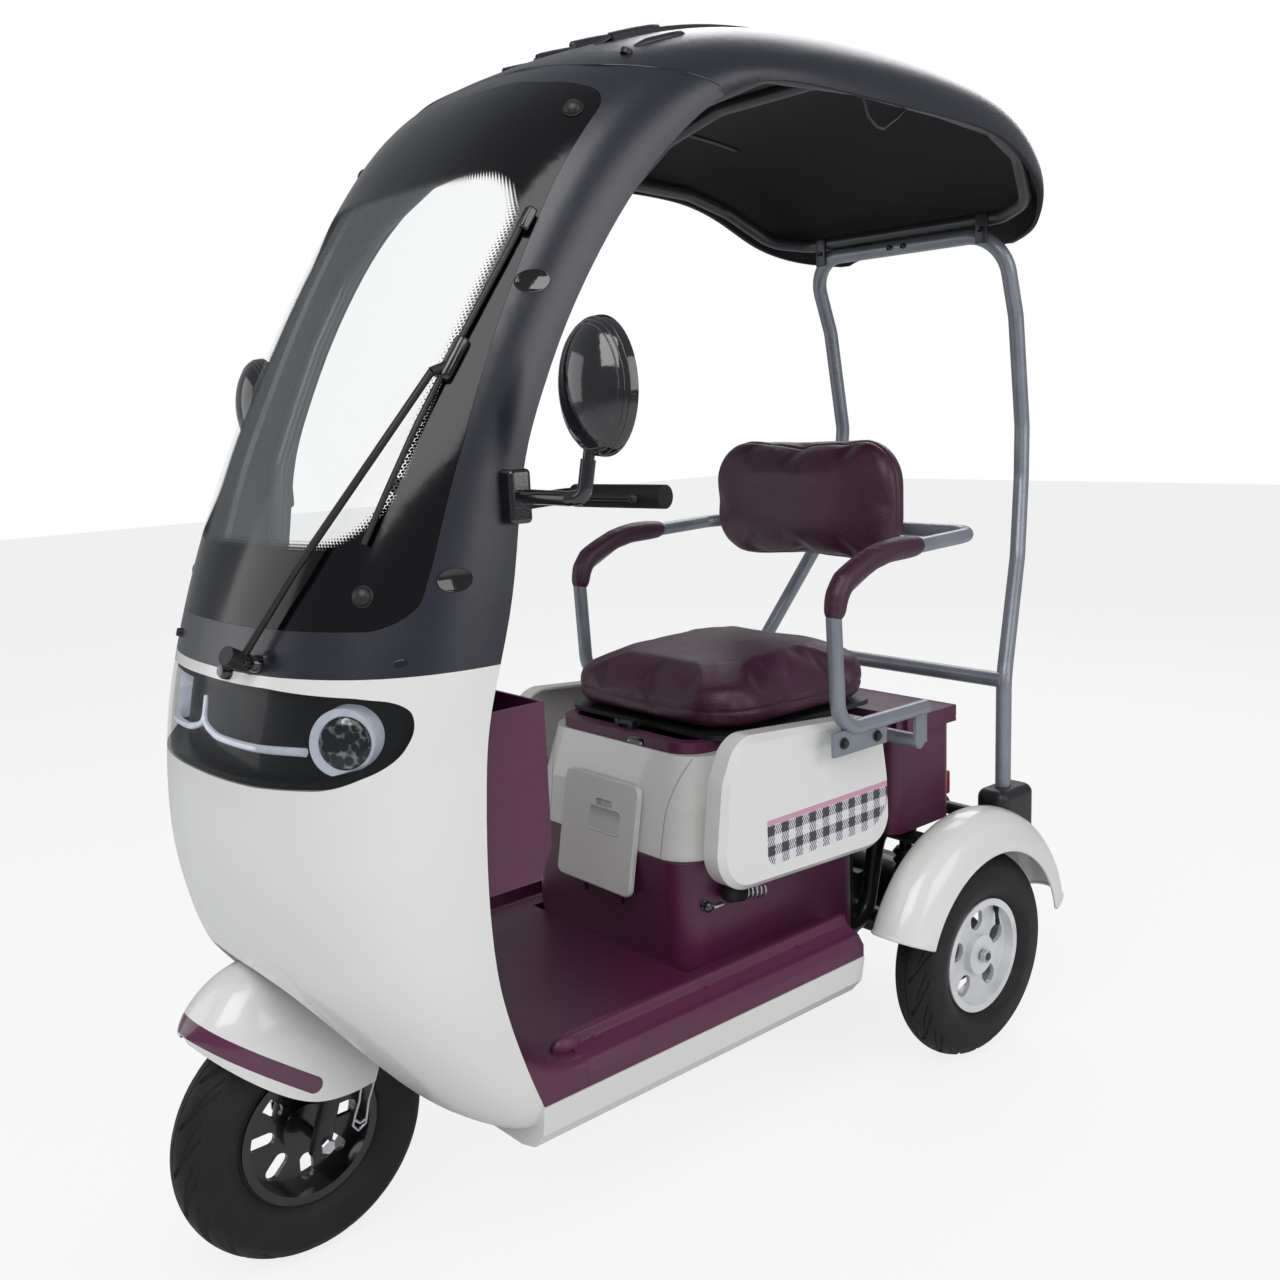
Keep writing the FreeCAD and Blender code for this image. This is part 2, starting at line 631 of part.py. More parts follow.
def spline_through(points):
    curve = Part.BSplineCurve()
    curve.interpolate(points)
    return curve.toShape()


def strip_face(points, wall, normal):
    """Face of a bent strip: a smooth line and the same line moved by the wall."""
    inner = shifted(points, wall, normal)
    edges = [spline_through(points), Part.makeLine(points[-1], inner[-1]),
             spline_through(inner), Part.makeLine(inner[0], points[0])]
    return Part.Face(Part.Wire(Part.__sortEdges__(edges)))


visor_bend = 0.3 * half_body
glass_bend = 0.5 * half_body
panel_bend = 0.16 * d.seat_box_width
lip_bend = 1.5 * d.panel_wall

# Steering frame: X as the car's, Y to the rear square to the axis, Z up along the axis
rake = math.radians(float(d.steer_rake))
steer_turn = Rotation(Vector(1, 0, 0), -float(d.steer_rake))
steer_place = Placement(Vector(0, float(axle_y), float(axle_z)), steer_turn)


def on_steering(shape):
    """Shape drawn in the steering frame, moved to the car's frame."""
    return shape.transformGeometry(steer_place.toMatrix())


def keep_steered(label, shape):
    obj = doc.addObject("Part::Feature", label)
    obj.Shape = shape
    obj.Placement = steer_place
    bind(obj, "Placement.Base.y", axle_y)
    bind(obj, "Placement.Base.z", axle_z)
    return keep(obj, label)


rear_y = along(d.wheel_base)
wheel_x = d.wheel_track / 2
rail_z = 384 / 1718 * d.roof_height
roof_points = full_run(spots(ROOF_TUBE_SHARES))
frame_bend = d.frame_tube * 2
roof_loop = tube(roof_points, d.frame_tube, d.frame_tube * 3)
roof_loop_room = tube(roof_points, d.frame_tube + 2 * d.seat_gap, d.frame_tube * 3)
hoop_points = full_run(spots(HOOP_SHARES))
hoop_room = tube(hoop_points, d.hoop_tube + 2 * d.seat_gap, d.hoop_tube * 3)
arm_points = full_run(spots(ARM_SHARES))
arm_room = tube(arm_points, d.frame_tube + 2 * d.seat_gap, d.frame_tube * 2)


def chassis_frame():
    """Floor rails, down tube, steering head, cross tubes and posts."""
    shapes = [tube(spots(DOWN_TUBE_SHARES), d.rail_tube, frame_bend)]
    head_low = Vector(0, float(d.steer_offset), float(d.fork_height) + float(d.head_tube_length) * 0.13)
    head = Part.makeCylinder(float(d.head_tube_diameter) / 2, float(d.head_tube_length), head_low)
    bore = Part.makeCylinder(float(d.steerer_diameter) / 2 + float(d.seat_gap) / 3,
                             3 * float(d.head_tube_length), head_low - Vector(0, 0, float(d.head_tube_length)))
    rail = tube(spots(RAIL_SHARES), d.rail_tube, frame_bend)
    shapes += [on_steering(head), rail, mirrored(rail)]
    for x, y, z in ((0.7, 0.2172, 0.1251), (0.9258, 0.4433, 0.1251), (0.9258, 0.7004, 0.1251), (0.9258, 0.9681, 0.2235), (0.9226, 1.1303, 0.2235), (0.6452, 1, 0.2235)):
        left = spots([(x, y, z)])[0]
        shapes.append(rod(left, Vector(-left.x, left.y, left.z), d.frame_tube))
    brace = rod(*spots(BRACE_SHARES), d.frame_tube * 0.7)
    shapes += [brace, mirrored(brace)]
    for x, y, low, high in ((150, 1008, 220, 579.2),):
        foot = spots([(x / 310, y / 1128, low / 1718)])[0]
        top = Vector(foot.x, foot.y, high / 1718 * float(d.roof_height))
        post = rod(foot, top, d.frame_tube)
        shapes += [post, mirrored(post)]
    frame = fuse(shapes).cut(on_steering(bore)).cut(roof_loop_room).cut(hoop_room)
    keep_shape("chassis_frame", frame)


def rear_axle():
    """Axle beam with its gear case, brake drums and stub axles."""
    centre = Vector(0, float(rear_y), float(axle_z))
    across = Vector(1, 0, 0)
    half = float(wheel_x)
    beam = Part.makeCylinder(25 / 661 * float(d.wheel_track), 2 * half * 0.86, centre - across * half * 0.86, across)
    case = Part.makeCylinder(0.39 * float(axle_z), 0.27 * half, centre - across * half * 0.135, across)
    shapes = [beam, case]
    motor = centre + Vector(0, 0.72 * float(axle_z), 0.06 * float(axle_z))
    link = Part.makeBox(0.18 * half, 0.5 * float(axle_z), 0.5 * float(axle_z),
                        centre + Vector(-0.09 * half, 0.1 * float(axle_z), -0.22 * float(axle_z)))
    shapes.append(link)
    for side in (1, -1):
        drum = Part.makeCylinder(0.32 * float(axle_z), 0.14 * half, centre + across * side * half * 0.82,
                                 across * side)
        stub = Part.makeCylinder(float(d.axle_diameter) / 2, 0.22 * half, centre + across * side * half * 0.9,
                                 across * side)
        shapes += [drum, stub]
    room = Part.makeCylinder(0.36 * float(axle_z) + float(d.seat_gap), half, motor - across * half * 0.5, across)
    keep_shape("rear_axle", fuse(shapes).cut(room))
    body = Part.makeCylinder(0.36 * float(axle_z), 0.62 * half, motor - across * half * 0.31, across)
    cap = Part.makeCylinder(0.30 * float(axle_z), 0.72 * half, motor - across * half * 0.36, across)
    keep_shape("drive_motor", fuse([body, cap]))


def rear_shocks():
    """Spring units between the axle beam and the frame's cross tube."""
    centre = Vector(0, float(rear_y), float(axle_z))
    top = Vector(0, float(rear_y), float(rail_z))
    across = Vector(1, 0, 0)
    x = 0.58 * float(wheel_x)
    wide = 0.08 * float(wheel_x)
    beam = 25 / 661 * float(d.wheel_track) + float(d.seat_gap)
    shapes = []
    for point, hole in ((centre, beam), (top, float(d.frame_tube) / 2 + float(d.seat_gap))):
        ring = Part.makeCylinder(hole + 0.5 * float(d.skin_wall), wide, point + across * (x - wide / 2), across)
        shapes.append(ring.cut(Part.makeCylinder(hole, 3 * wide, point + across * (x - wide * 1.5), across)))
    foot = centre + across * x + Vector(0, 0, beam)
    reach = float(rail_z) - float(axle_z) - beam - float(d.frame_tube) / 2 - float(d.seat_gap)
    rod_r, sleeve_r, coil_r = 0.036 * float(wheel_x), 0.055 * float(wheel_x), 0.073 * float(wheel_x)
    low, high, turns = 0.16 * reach, 0.84 * reach, 7
    outline_points = [Vector(0, 0, -1), Vector(rod_r, 0, -1), Vector(rod_r, 0, low), Vector(sleeve_r, 0, low)]
    for i in range(turns):
        step = (high - low) / turns
        outline_points.append(Vector(coil_r, 0, low + step * (i + 0.5)))
        outline_points.append(Vector(sleeve_r, 0, low + step * (i + 1)))
    outline_points += [Vector(rod_r, 0, high), Vector(rod_r, 0, reach + 1), Vector(0, 0, reach + 1)]
    spring = polygon_face(outline_points).revolve(Vector(0, 0, 0), Vector(0, 0, 1), 360)
    left = fuse(shapes + [spring.translated(foot)])
    beam_room = Part.makeCylinder(beam, 3 * wide, centre + across * (x - wide * 1.5), across)
    top_room = Part.makeCylinder(float(d.frame_tube) / 2 + float(d.seat_gap), 3 * wide,
                                 top + across * (x - wide * 1.5), across)
    keep_shape("rear_shocks", both_sides(left.cut(beam_room).cut(top_room)))


def battery_pack(floor_z):
    body = new_body("battery_pack")
    sketch = new_sketch(body, "XY_Plane")
    half_x = 0.40 * d.seat_box_width
    half_y = 0.30 * d.cushion_length
    draw_polygon(sketch, [(-half_x, -half_y), (half_x, -half_y), (half_x, half_y), (-half_x, half_y)])
    pad(body, sketch, 0.098 * d.roof_height)
    fillet(body, d.skin_wall, lambda edge: runs_along(edge, 2))
    place(body, 0, along(d.seat_box_front + 0.5 * d.cushion_length), floor_z)
    keep(body, "battery_pack")


def front_shield():
    """Moulded front with the lamp opening and the wheel opening cut through."""
    opening = front_prism(outline(VISOR_SHARES), front_end, visor_back, visor_bend)
    shield = body_shell.cut(cowl_plane).common(skirt_plane)
    keep_shape("front_shield", shield.cut(opening).cut(arch_room()))


def arch_room():
    """Room for the front wheel, its fork and fender, cut through the nose."""
    pairs = [(x * float(half_body), z * float(d.roof_height)) for x, z in ARCH_OPENING_SHARES]
    back = float(along(0.180 * d.wheel_base))
    return front_prism(pairs, front_end, back, 0.35 * half_body)


def open_channel(points, wall, tail):
    """Section of an open channel: a polygon less itself moved inward, open along the tail."""
    outer = polygon_face(points)
    longer = [points[0] + tail] + list(points) + [points[-1] + tail]
    inner = polygon_face(longer).makeOffset2D(-float(wall))
    return outer.cut(inner)


def bent_channel(points, wall, tail, bend):
    """Section of an open channel with rounded corners, cut off level with its two ends."""
    longer = [points[0] + tail] + list(points[1:-1]) + [points[-1] + tail]
    outer = round_face(longer, bend)
    band = outer.cut(outer.makeOffset2D(-float(wall)))
    level = points[0].z
    wide = 2 * points[0].x
    return band.common(polygon_face([Vector(-wide, 0, level), Vector(wide, 0, level),
                                     Vector(wide, 0, level + wide), Vector(-wide, 0, level + wide)]))


def across_section(shares, middle_z):
    """Closed polygon over both sides from the left half's points."""
    left = section(shares)
    centre = Vector(0, 0, float(middle_z))
    return left + [centre] + [Vector(-p.x, p.y, p.z) for p in reversed(left)]


def belly_pan():
    """Trough under the floor with its front wall and the cheeks beside the wheel."""
    points = across_section(BELLY_SHARES, d.belly_height)
    up = Vector(0, 0, 4 * float(d.panel_wall))
    start = float(along(0.1825 * d.wheel_base))
    trough = open_channel(points, d.panel_wall, up).translated(Vector(0, start, 0))
    trough = trough.extrude(Vector(0, float(along(d.floor_end)) - start, 0))
    wall = polygon_face(points).translated(Vector(0, start, 0)).extrude(Vector(0, float(d.panel_wall), 0))
    cheeks = body_shell.cut(skirt_plane).cut(arch_room())
    keep_shape("belly_pan", fuse([trough, wall, cheeks]).cut(roof_loop_room))


def floor_pan():
    """Running board with raised lips, cut away round the seat base."""
    left = section(FLOOR_SHARES)
    points = left + [Vector(-p.x, p.y, p.z) for p in reversed(left)]
    down = Vector(0, 0, -10 * float(d.panel_wall))
    start = float(along(d.floor_start))
    length = float(d.floor_end) - float(d.floor_start)
    pan = bent_channel(points, d.panel_wall, down, lip_bend).translated(Vector(0, start, 0))
    pan = pan.extrude(Vector(0, length, 0))
    end_wall = polygon_face(points).translated(Vector(0, start + length - float(d.panel_wall), 0))
    pan = pan.fuse(end_wall.extrude(Vector(0, float(d.panel_wall), 0)))
    high = float(d.floor_height) - float(d.panel_wall) / 2
    low = float(d.roof_height) * 0.125 + float(d.rail_tube) / 2 + float(d.seat_gap)
    webs = []
    for side in (1, -1):
        x = side * float(d.rail_spread) / 2
        webs.append(block((x - 2, x + 2), (start, float(along(d.seat_box_front)) - 10), (low, high)))
    room = block((-float(d.seat_box_width) / 2 - float(d.seat_gap), float(d.seat_box_width) / 2 + float(d.seat_gap)),
                 (float(along(d.seat_box_front)) - float(d.seat_gap), float(along(d.floor_end)) + 50), (0, 1000))
    front_room = tube(spots(DOWN_TUBE_SHARES), d.rail_tube + 2 * d.seat_gap, frame_bend)
    keep_shape("floor_pan", fuse([pan.cut(room)] + webs).cut(front_room))


def leg_shield():
    """Inner panel with the steering tunnel, two pockets and the foot."""
    normal = Vector(1, 0, 0)
    line = []
    for share in (0.4998, 0.460, 0.420, 0.380, 0.340, 0.300, 0.270):
        z = share * float(d.roof_height)
        line.append(Vector(0, edge_y(z) - 1, z))
    line += profile(LEG_LINE_SHARES)
    plate = side_prism(strip_face(line, -float(d.panel_wall) - 1, normal), half_body)
    room = body_skin(d.skin_wall + d.seat_gap, d.overrun)
    plate = plate.common(room).common(skin_outer)
    tunnel_half = float(d.tunnel_width) / 2
    points = profile(TUNNEL_SHARES)
    tunnel = side_prism(polygon_face(points), tunnel_half)
    tunnel = tunnel.makeFillet(0.35 * tunnel_half, tunnel_edges(tunnel, tunnel_half, points[0].y + 1))
    wall = float(d.panel_wall)
    inner_points = [p + Vector(0, -wall, 0) for p in points]
    inner_points[0].z += -wall
    inner_points[1].z += -wall
    inner_points[-2].z += -10
    inner_points[-1].z += -10
    inner = side_prism(polygon_face(inner_points), tunnel_half - wall)
    inner = inner.makeFillet(0.35 * tunnel_half - wall / 2, tunnel_edges(inner, tunnel_half - wall, inner_points[0].y + 1))
    behind = tunnel.cut(front_of(line))
    stem = Part.makeCylinder(float(d.steerer_diameter) * 0.8, float(d.steerer_top),
                             Vector(0, float(d.steer_offset), float(d.steerer_top) * 0.5))
    shapes = [plate, behind, shield_foot(line, room)]
    pocket_low, pocket_high = 0.52 * float(half_body), 0.93 * float(half_body)
    for side in (1, -1):
        xs = sorted((side * pocket_low, side * pocket_high))
        bin_face = polygon_face(profile(POCKET_SHARES))
        outer = bin_face.translated(Vector(xs[0], 0, 0)).extrude(Vector(xs[1] - xs[0], 0, 0))
        shapes.append(outer.cut(front_of(line)))
    solid = fuse(shapes).cut(inner).cut(on_steering(stem))
    solid = solid.cut(half_space(Vector(0, 0, float(cowl_height) - float(d.seat_gap)), Vector(0, 0, 1)))
    for side in (1, -1):
        xs = sorted((side * pocket_low, side * pocket_high))
        face = polygon_face(profile(POCKET_SHARES)).makeOffset2D(-wall)
        hole = face.translated(Vector(xs[0] + wall, 0, 0)).extrude(Vector(xs[1] - xs[0] - 2 * wall, 0, 0))
        lift = face.translated(Vector(xs[0] + wall, 0, 3 * wall)).extrude(Vector(xs[1] - xs[0] - 2 * wall, 0, 0))
        solid = solid.cut(hole.fuse(lift).cut(front_of(line)))
    keep_shape("leg_shield", solid)


def shield_foot(line, room):
    """Foot of the inner panel, with a rounded edge and a skirt down each side to the belly."""
    half = FLOOR_SHARES[0][0] * float(half_body)
    wall = float(d.panel_wall)
    top = LEG_LINE_SHARES[0][1] * float(d.roof_height)
    front, rear = float(along(0.115 * d.wheel_base)), float(along(d.floor_start))
    low = float(d.sill_height) + float(d.seat_gap)
    outer = block((-half, half), (front, rear), (low, top)).common(front_of(line))
    outer = outer.makeFillet(4 * wall, curved_edges(outer))
    under = shifted(line, -wall, Vector(1, 0, 0))
    inner = block((-half + wall, half - wall), (front - wall, rear + wall), (low - wall, top + wall))
    inner = inner.common(front_of(under))
    inner = inner.makeFillet(3 * wall, curved_edges(inner))
    steps = 12
    heights = [low - wall + i * (top - low + 2 * wall) / steps for i in range(steps + 1)]
    edge = [Vector(0, edge_y(z) + float(d.seat_gap), z) for z in heights]
    far = [Vector(0, rear + wall, heights[-1]), Vector(0, rear + wall, heights[0])]
    behind = side_prism(polygon_face(edge + far), half + wall)
    foot = outer.cut(inner)
    return fuse([foot.common(room), foot.common(behind)]).cut(roof_loop_room)


def curved_edges(shape):
    """Edges of a block that follow the inner panel's line."""
    return [edge for edge in shape.Edges
            if edge.BoundBox.XLength < 1e-3 and "BSpline" in edge.Curve.TypeId]


def front_of(line):
    """Block ahead of the inner panel's rear face."""
    far = Vector(0, line[0].y - 1000, 0)
    edges = [spline_through(line),
             Part.makeLine(line[-1], Vector(0, line[-1].y, 0)),
             Part.makeLine(Vector(0, line[-1].y, 0), Vector(0, far.y, 0)),
             Part.makeLine(Vector(0, far.y, 0), Vector(0, far.y, line[0].z)),
             Part.makeLine(Vector(0, far.y, line[0].z), line[0])]
    return side_prism(Part.Face(Part.Wire(Part.__sortEdges__(edges))), 1000)


def tunnel_edges(shape, half, y_min):
    """The tunnel's long rear edges."""
    chosen = []
    for edge in shape.Edges:
        box = edge.BoundBox
        if box.XLength < 1e-3 and abs(abs(box.Center.x) - half) < 1e-3 and box.YMin > y_min:
            if box.ZLength > 0.05 * float(d.roof_height):
                chosen.append(edge)
    return chosen


def headlamp():
    """Bowl, ring lamps and bright strip behind the visor, each seated on the bowl."""
    depth = (front_end, visor_back, visor_bend)
    wider = front_prism(outline(VISOR_SHARES, d.bowl_wall), *depth)
    smaller = front_prism(outline(VISOR_SHARES, -2 * d.bowl_wall), *depth)
    pane = front_prism(outline(VISOR_SHARES, -d.seat_gap), *depth)
    behind_skin = body_skin(d.skin_wall + d.seat_gap, d.overrun)
    behind_visor = body_skin(d.visor_wall + d.seat_gap, d.overrun)
    bowl = wider.common(skin_lamp_back.cut(skin_bowl_back))
    collar = wider.cut(smaller).common(behind_skin.cut(skin_bowl_back))
    ledge = pane.cut(smaller).common(behind_visor.cut(skin_bowl_back))
    keep_shape("headlamp_backing", fuse([bowl, collar, ledge]).cut(roof_loop_room))
    keep_shape("headlamp_visor", pane.common(skin_outer.cut(skin_under_visor)))
    seat = body_skin(d.lamp_depth - d.seat_gap, d.overrun)
    face = body_skin(2 * d.visor_wall, d.overrun)
    centre = Vector(0.774 * float(half_body), float(along(-0.018 * d.wheel_base)), 0.4558 * float(d.roof_height))
    out = Vector(0.50, -0.86, -0.05).normalize()
    rings = []
    outer = float(d.lamp_ring_diameter) / 2
    start = centre - out * 3 * outer
    ring = Part.makeCylinder(outer, 6 * outer, start, out)
    ring = ring.cut(Part.makeCylinder(outer - float(d.lamp_ring_width), 6 * outer, start, out))
    lens = Part.makeCylinder(float(d.lamp_lens_diameter) / 2, 6 * outer, start, out)
    near = front_prism(outline(VISOR_SHARES, -3 * d.bowl_wall), *depth)
    ring = ring.common(face.cut(seat)).common(near)
    lens = lens.common(body_skin(d.lamp_depth * 0.55, d.overrun).cut(seat)).common(near)
    keep_shape("headlamp_rings", both_sides(ring))
    keep_shape("headlamp_lenses", both_sides(lens))
    bar_half = 0.60 * float(half_body)
    low = 0.4600 * float(d.roof_height)
    bar = block((-bar_half, bar_half), (front_end, visor_back), (low, low + 2 * float(d.skin_wall)))
    strip = bar.common(body_skin(d.lamp_depth * 0.6, d.overrun).cut(seat))
    keep_shape("headlamp_strip", strip)


def windshield_frame():
    """Pillars, cowl and header with a ledge that the sheet rests on, and the dash plate."""
    depth = (front_end, glass_back, glass_bend)
    window = front_prism(outline(GLASS_SHARES), *depth)
    wider = front_prism(outline(GLASS_SHARES, 0.5 * d.skin_wall), *depth)
    sight = front_prism(outline(GLASS_SHARES, -d.glass_ledge), *depth)
    ledge_face = body_skin(d.glass_wall + d.seat_gap, d.overrun)
    ledge_back = body_skin(d.glass_wall + d.skin_wall, d.overrun)
    shell = body_shell.common(cowl_plane).cut(seam_plane).cut(window)
    ledge = wider.cut(sight).common(ledge_face.cut(ledge_back)).cut(seam_plane).common(cowl_plane)
    dash_top = float(cowl_height) + float(d.skin_wall)
    rear = edge_y(cowl_height) - 1
    slab = block((-1000, 1000), (front_end, rear), (float(cowl_height) + 0.3, dash_top))
    dash = slab.common(body_skin(d.skin_wall - 1, d.overrun))
    frame = fuse([shell, ledge, dash]).cut(roof_loop_room)
    keep_shape("windshield_frame", frame)
    pane = front_prism(outline(GLASS_SHARES, -d.seat_gap), *depth)
    keep_shape("windshield", pane.common(skin_outer.cut(skin_under_glass)))


def roof_canopy():
    """Roof shell with five raised ribs along it."""
    shell = body_shell.common(seam_plane).common(cowl_plane)
    proud = body_skin(-1.1 * d.skin_wall)
    under = body_skin(0.4 * d.skin_wall, d.overrun)
    ribs = []
    start, end = float(along(0.455 * d.wheel_base)), float(along(1.09 * d.wheel_base))
    for i in range(-2, 3):
        x = i * 0.274 * float(half_body)
        half = 0.023 * float(half_body)
        ribs.append(block((x - half, x + half), (start, end), (0.9 * float(d.roof_height), 1.1 * float(d.roof_height))))
    ribs = Part.makeCompound(ribs).common(proud.cut(under))
    keep_shape("roof_canopy", fuse([shell] + ribs.Solids).cut(roof_loop_room))


def skin_point(x, z, proud):
    """Point on the front of the skin at a place across and a height, standing off it."""
    hit = proud_skins[proud].common(Part.makeLine(Vector(x, front_end - 100, z), Vector(x, float(along(0.5 * d.wheel_base)), z)))
    return min((v.Point for v in hit.Vertexes), key=lambda p: p.y)


proud_skins = {"arm": body_skin(-3 * d.skin_wall), "blade": body_skin(-1.2 * d.skin_wall)}


def wiper():
    """Arm from its pivot on the cowl to the long blade."""
    half, high = float(half_body), float(d.roof_height)
    arm = [skin_point(x * half, z * high, "arm") for x, z in WIPER_ARM_SHARES]
    blade = [skin_point(x * half, z * high, "blade") for x, z in WIPER_BLADE_SHARES]
    shapes = [tube(arm, 1.6 * d.skin_wall, half), tube(blade, 1.3 * d.skin_wall, half)]
    out = Vector(0.25, -0.85, 0.45).normalize()
    post = Part.makeCylinder(2 * float(d.skin_wall), 8 * float(d.skin_wall), arm[0] - out * 4 * float(d.skin_wall), out)
    knuckle = rod(arm[-1], blade[3], 2 * d.skin_wall)
    keep_shape("wiper", fuse(shapes + [knuckle, post]).cut(body_skin(-d.seat_gap)))


def roof_tube_frame():
    """Tube loop from the floor rails up the pillars and round the roof, with the cross bow."""
    bow = tube(full_run(spots(ROOF_BOW_SHARES)), d.frame_tube, d.frame_tube * 2)
    front_cross = spots([(0.7, 0.2172, 0.1251)])[0]
    room = rod(front_cross, Vector(-front_cross.x, front_cross.y, front_cross.z), d.frame_tube + 2 * d.seat_gap)
    keep_shape("roof_tube_frame", fuse([roof_loop, bow]).cut(room))


def rear_hoop():
    bar = rod(*[Vector(s * p.x, p.y, p.z) for s, p in zip((1, -1), spots([HOOP_BAR_SHARES[0]] * 2))], d.hoop_tube)
    loop = tube(hoop_points, d.hoop_tube, d.hoop_tube * 3)
    keep_shape("rear_hoop", fuse([loop, bar]).cut(roof_loop_room))


def hoop_covers():
    """Moulded foot over each end of the hoop."""
    low, high = spots([(0.871, 1.0887, 0.2055), (1.0774, 1.1791, 0.2631)])
    left = Part.makeBox(high.x - low.x, high.y - low.y, high.z - low.z, low)
    left = left.makeFillet(0.28 * (high.x - low.x), [e for e in left.Edges if e.BoundBox.ZMax > low.z + 1])
    cross = spots([(0.9226, 1.1303, 0.2235)])[0]
    rod_room = rod(cross, Vector(-cross.x, cross.y, cross.z), d.frame_tube + 2 * d.seat_gap)
    left = left.cut(hoop_room).cut(rod_room)
    keep_shape("hoop_covers", both_sides(left))
    return both_sides(left)


def seat_base():
    """Lower half of the box under the seat, open at the top."""
    body = new_body("seat_base")
    half = d.seat_box_width / 2
    length = d.seat_box_end - d.seat_box_front - 37 / 1128 * d.wheel_base
    sketch = new_sketch(body, "XY_Plane")
    draw_polygon(sketch, [(-half, 0), (half, 0), (half, length), (-half, length)])
    low = 0.125 * d.roof_height + d.rail_tube / 2 + d.seat_gap
    pad(body, sketch, d.seat_box_split - low - d.seat_gap)
    fillet(body, 0.11 * d.seat_box_width, lambda edge: runs_along(edge, 2))
    hollow(body, d.panel_wall)
    place(body, 0, along(d.seat_box_front), low)
    doc.recompute()
    keep_shape("seat_base", body.Shape.cut(hatch_room()))
    return low


def rounded_slab(half_x, front, back, z, radius):
    """Wire of a rounded rectangle at a height."""
    face = Part.makePlane(2 * half_x, back - front, Vector(-half_x, front, z))
    return Part.Face(face.OuterWire).OuterWire, radius


def seat_box():
    """Upper half of the box under the seat, leaning back at the front."""
    half = float(d.seat_box_width) / 2
    low, high = float(d.seat_box_split), float(d.seat_box_top)
    front = float(along(d.seat_box_front)) + 4
    back = float(along(d.seat_box_end)) - 37
    lean = float(d.seat_box_lean)
    wall = float(d.panel_wall)

    def lofted(inset, drop):
        rings = []
        for z, start, spread in ((low - drop, front, 0), (0.5 * (low + high), front + 0.38 * lean, 0),
                                 (high + drop, front + lean, -0.05 * half)):
            x = half + spread - inset
            rings.append(round_ring(x, start + inset, back - inset, z, 0.28 * half - inset))
        return Part.makeLoft(rings, True, True)

    outer = lofted(0, 0)
    shell = outer.cut(lofted(wall, wall))
    rim_top = lofted(0, 0).common(block((-1000, 1000), (-5000, 5000), (high - wall, high)))
    mouth = round_prism(half * 0.80, front + lean + 0.12 * half, back - 0.12 * half, high - 20, high + 20, 0.2 * half)
    shell = fuse([shell, rim_top]).cut(mouth)
    keep_shape("seat_box", shell.cut(hatch_room()))
    tub_low = low + 20
    rim = round_prism(half * 0.86, front + lean + 4, back - 6, high + float(d.seat_gap), high + 18, 0.26 * half)
    bucket = round_prism(half * 0.80 - float(d.seat_gap), front + lean + 0.12 * half + float(d.seat_gap),
                         back - 0.12 * half - float(d.seat_gap), tub_low, high + 18, 0.2 * half)
    hollow = round_prism(half * 0.80 - wall, front + lean + 0.12 * half + wall, back - 0.12 * half - wall,
                         tub_low + wall, high + 50, 0.2 * half - wall)
    keep_shape("storage_tub", fuse([rim, bucket]).cut(hollow))
    return high + 18


def hatch_room():
    """Room for the hatch as it swings, cut through the front of the box's halves."""
    lip = float(d.hatch_wall)
    half = float(d.hatch_width) / 2 - lip
    low = float(d.hatch_foot) + 1.5 * lip
    front = float(along(d.seat_box_front))
    depth = float(d.seat_box_lean)
    high = float(d.hatch_foot) + float(d.hatch_height) - 1.5 * lip
    opening = Part.Face(round_ring(half, low, high, 0, 0.16 * half))
    opening = opening.extrude(Vector(0, 0, 2 * depth))
    turn = Placement(Vector(0, front + depth, 0), Rotation(Vector(1, 0, 0), 90))
    return opening.transformGeometry(turn.toMatrix())


def round_ring(x, front, back, z, radius):
    """Closed wire of a rounded rectangle."""
    r = radius
    k = r * (1 - math.sqrt(0.5))
    corners = [((x, back - r), (x - k, back - k), (x - r, back)),
               ((-x + r, back), (-x + k, back - k), (-x, back - r)),
               ((-x, front + r), (-x + k, front + k), (-x + r, front)),
               ((x - r, front), (x - k, front + k), (x, front + r))]
    edges = []
    for i, (a, b, c) in enumerate(corners):
        edges.append(Part.Arc(*[Vector(p[0], p[1], z) for p in (a, b, c)]).toShape())
        after = corners[(i + 1) % 4][0]
        edges.append(Part.makeLine(Vector(c[0], c[1], z), Vector(after[0], after[1], z)))
    return Part.Wire(edges)


def round_prism(x, front, back, low, high, radius):
    return Part.Face(round_ring(x, front, back, low, radius)).extrude(Vector(0, 0, high - low))


# The hatch's hinge and tilt
hatch_tilt = math.degrees(math.atan2(0.76 * float(d.seat_box_lean), float(d.seat_box_top) - float(d.seat_box_split)))
hatch_pin = Vector(0, float(along(d.seat_box_front)) - 6, float(d.hatch_foot) + 2)


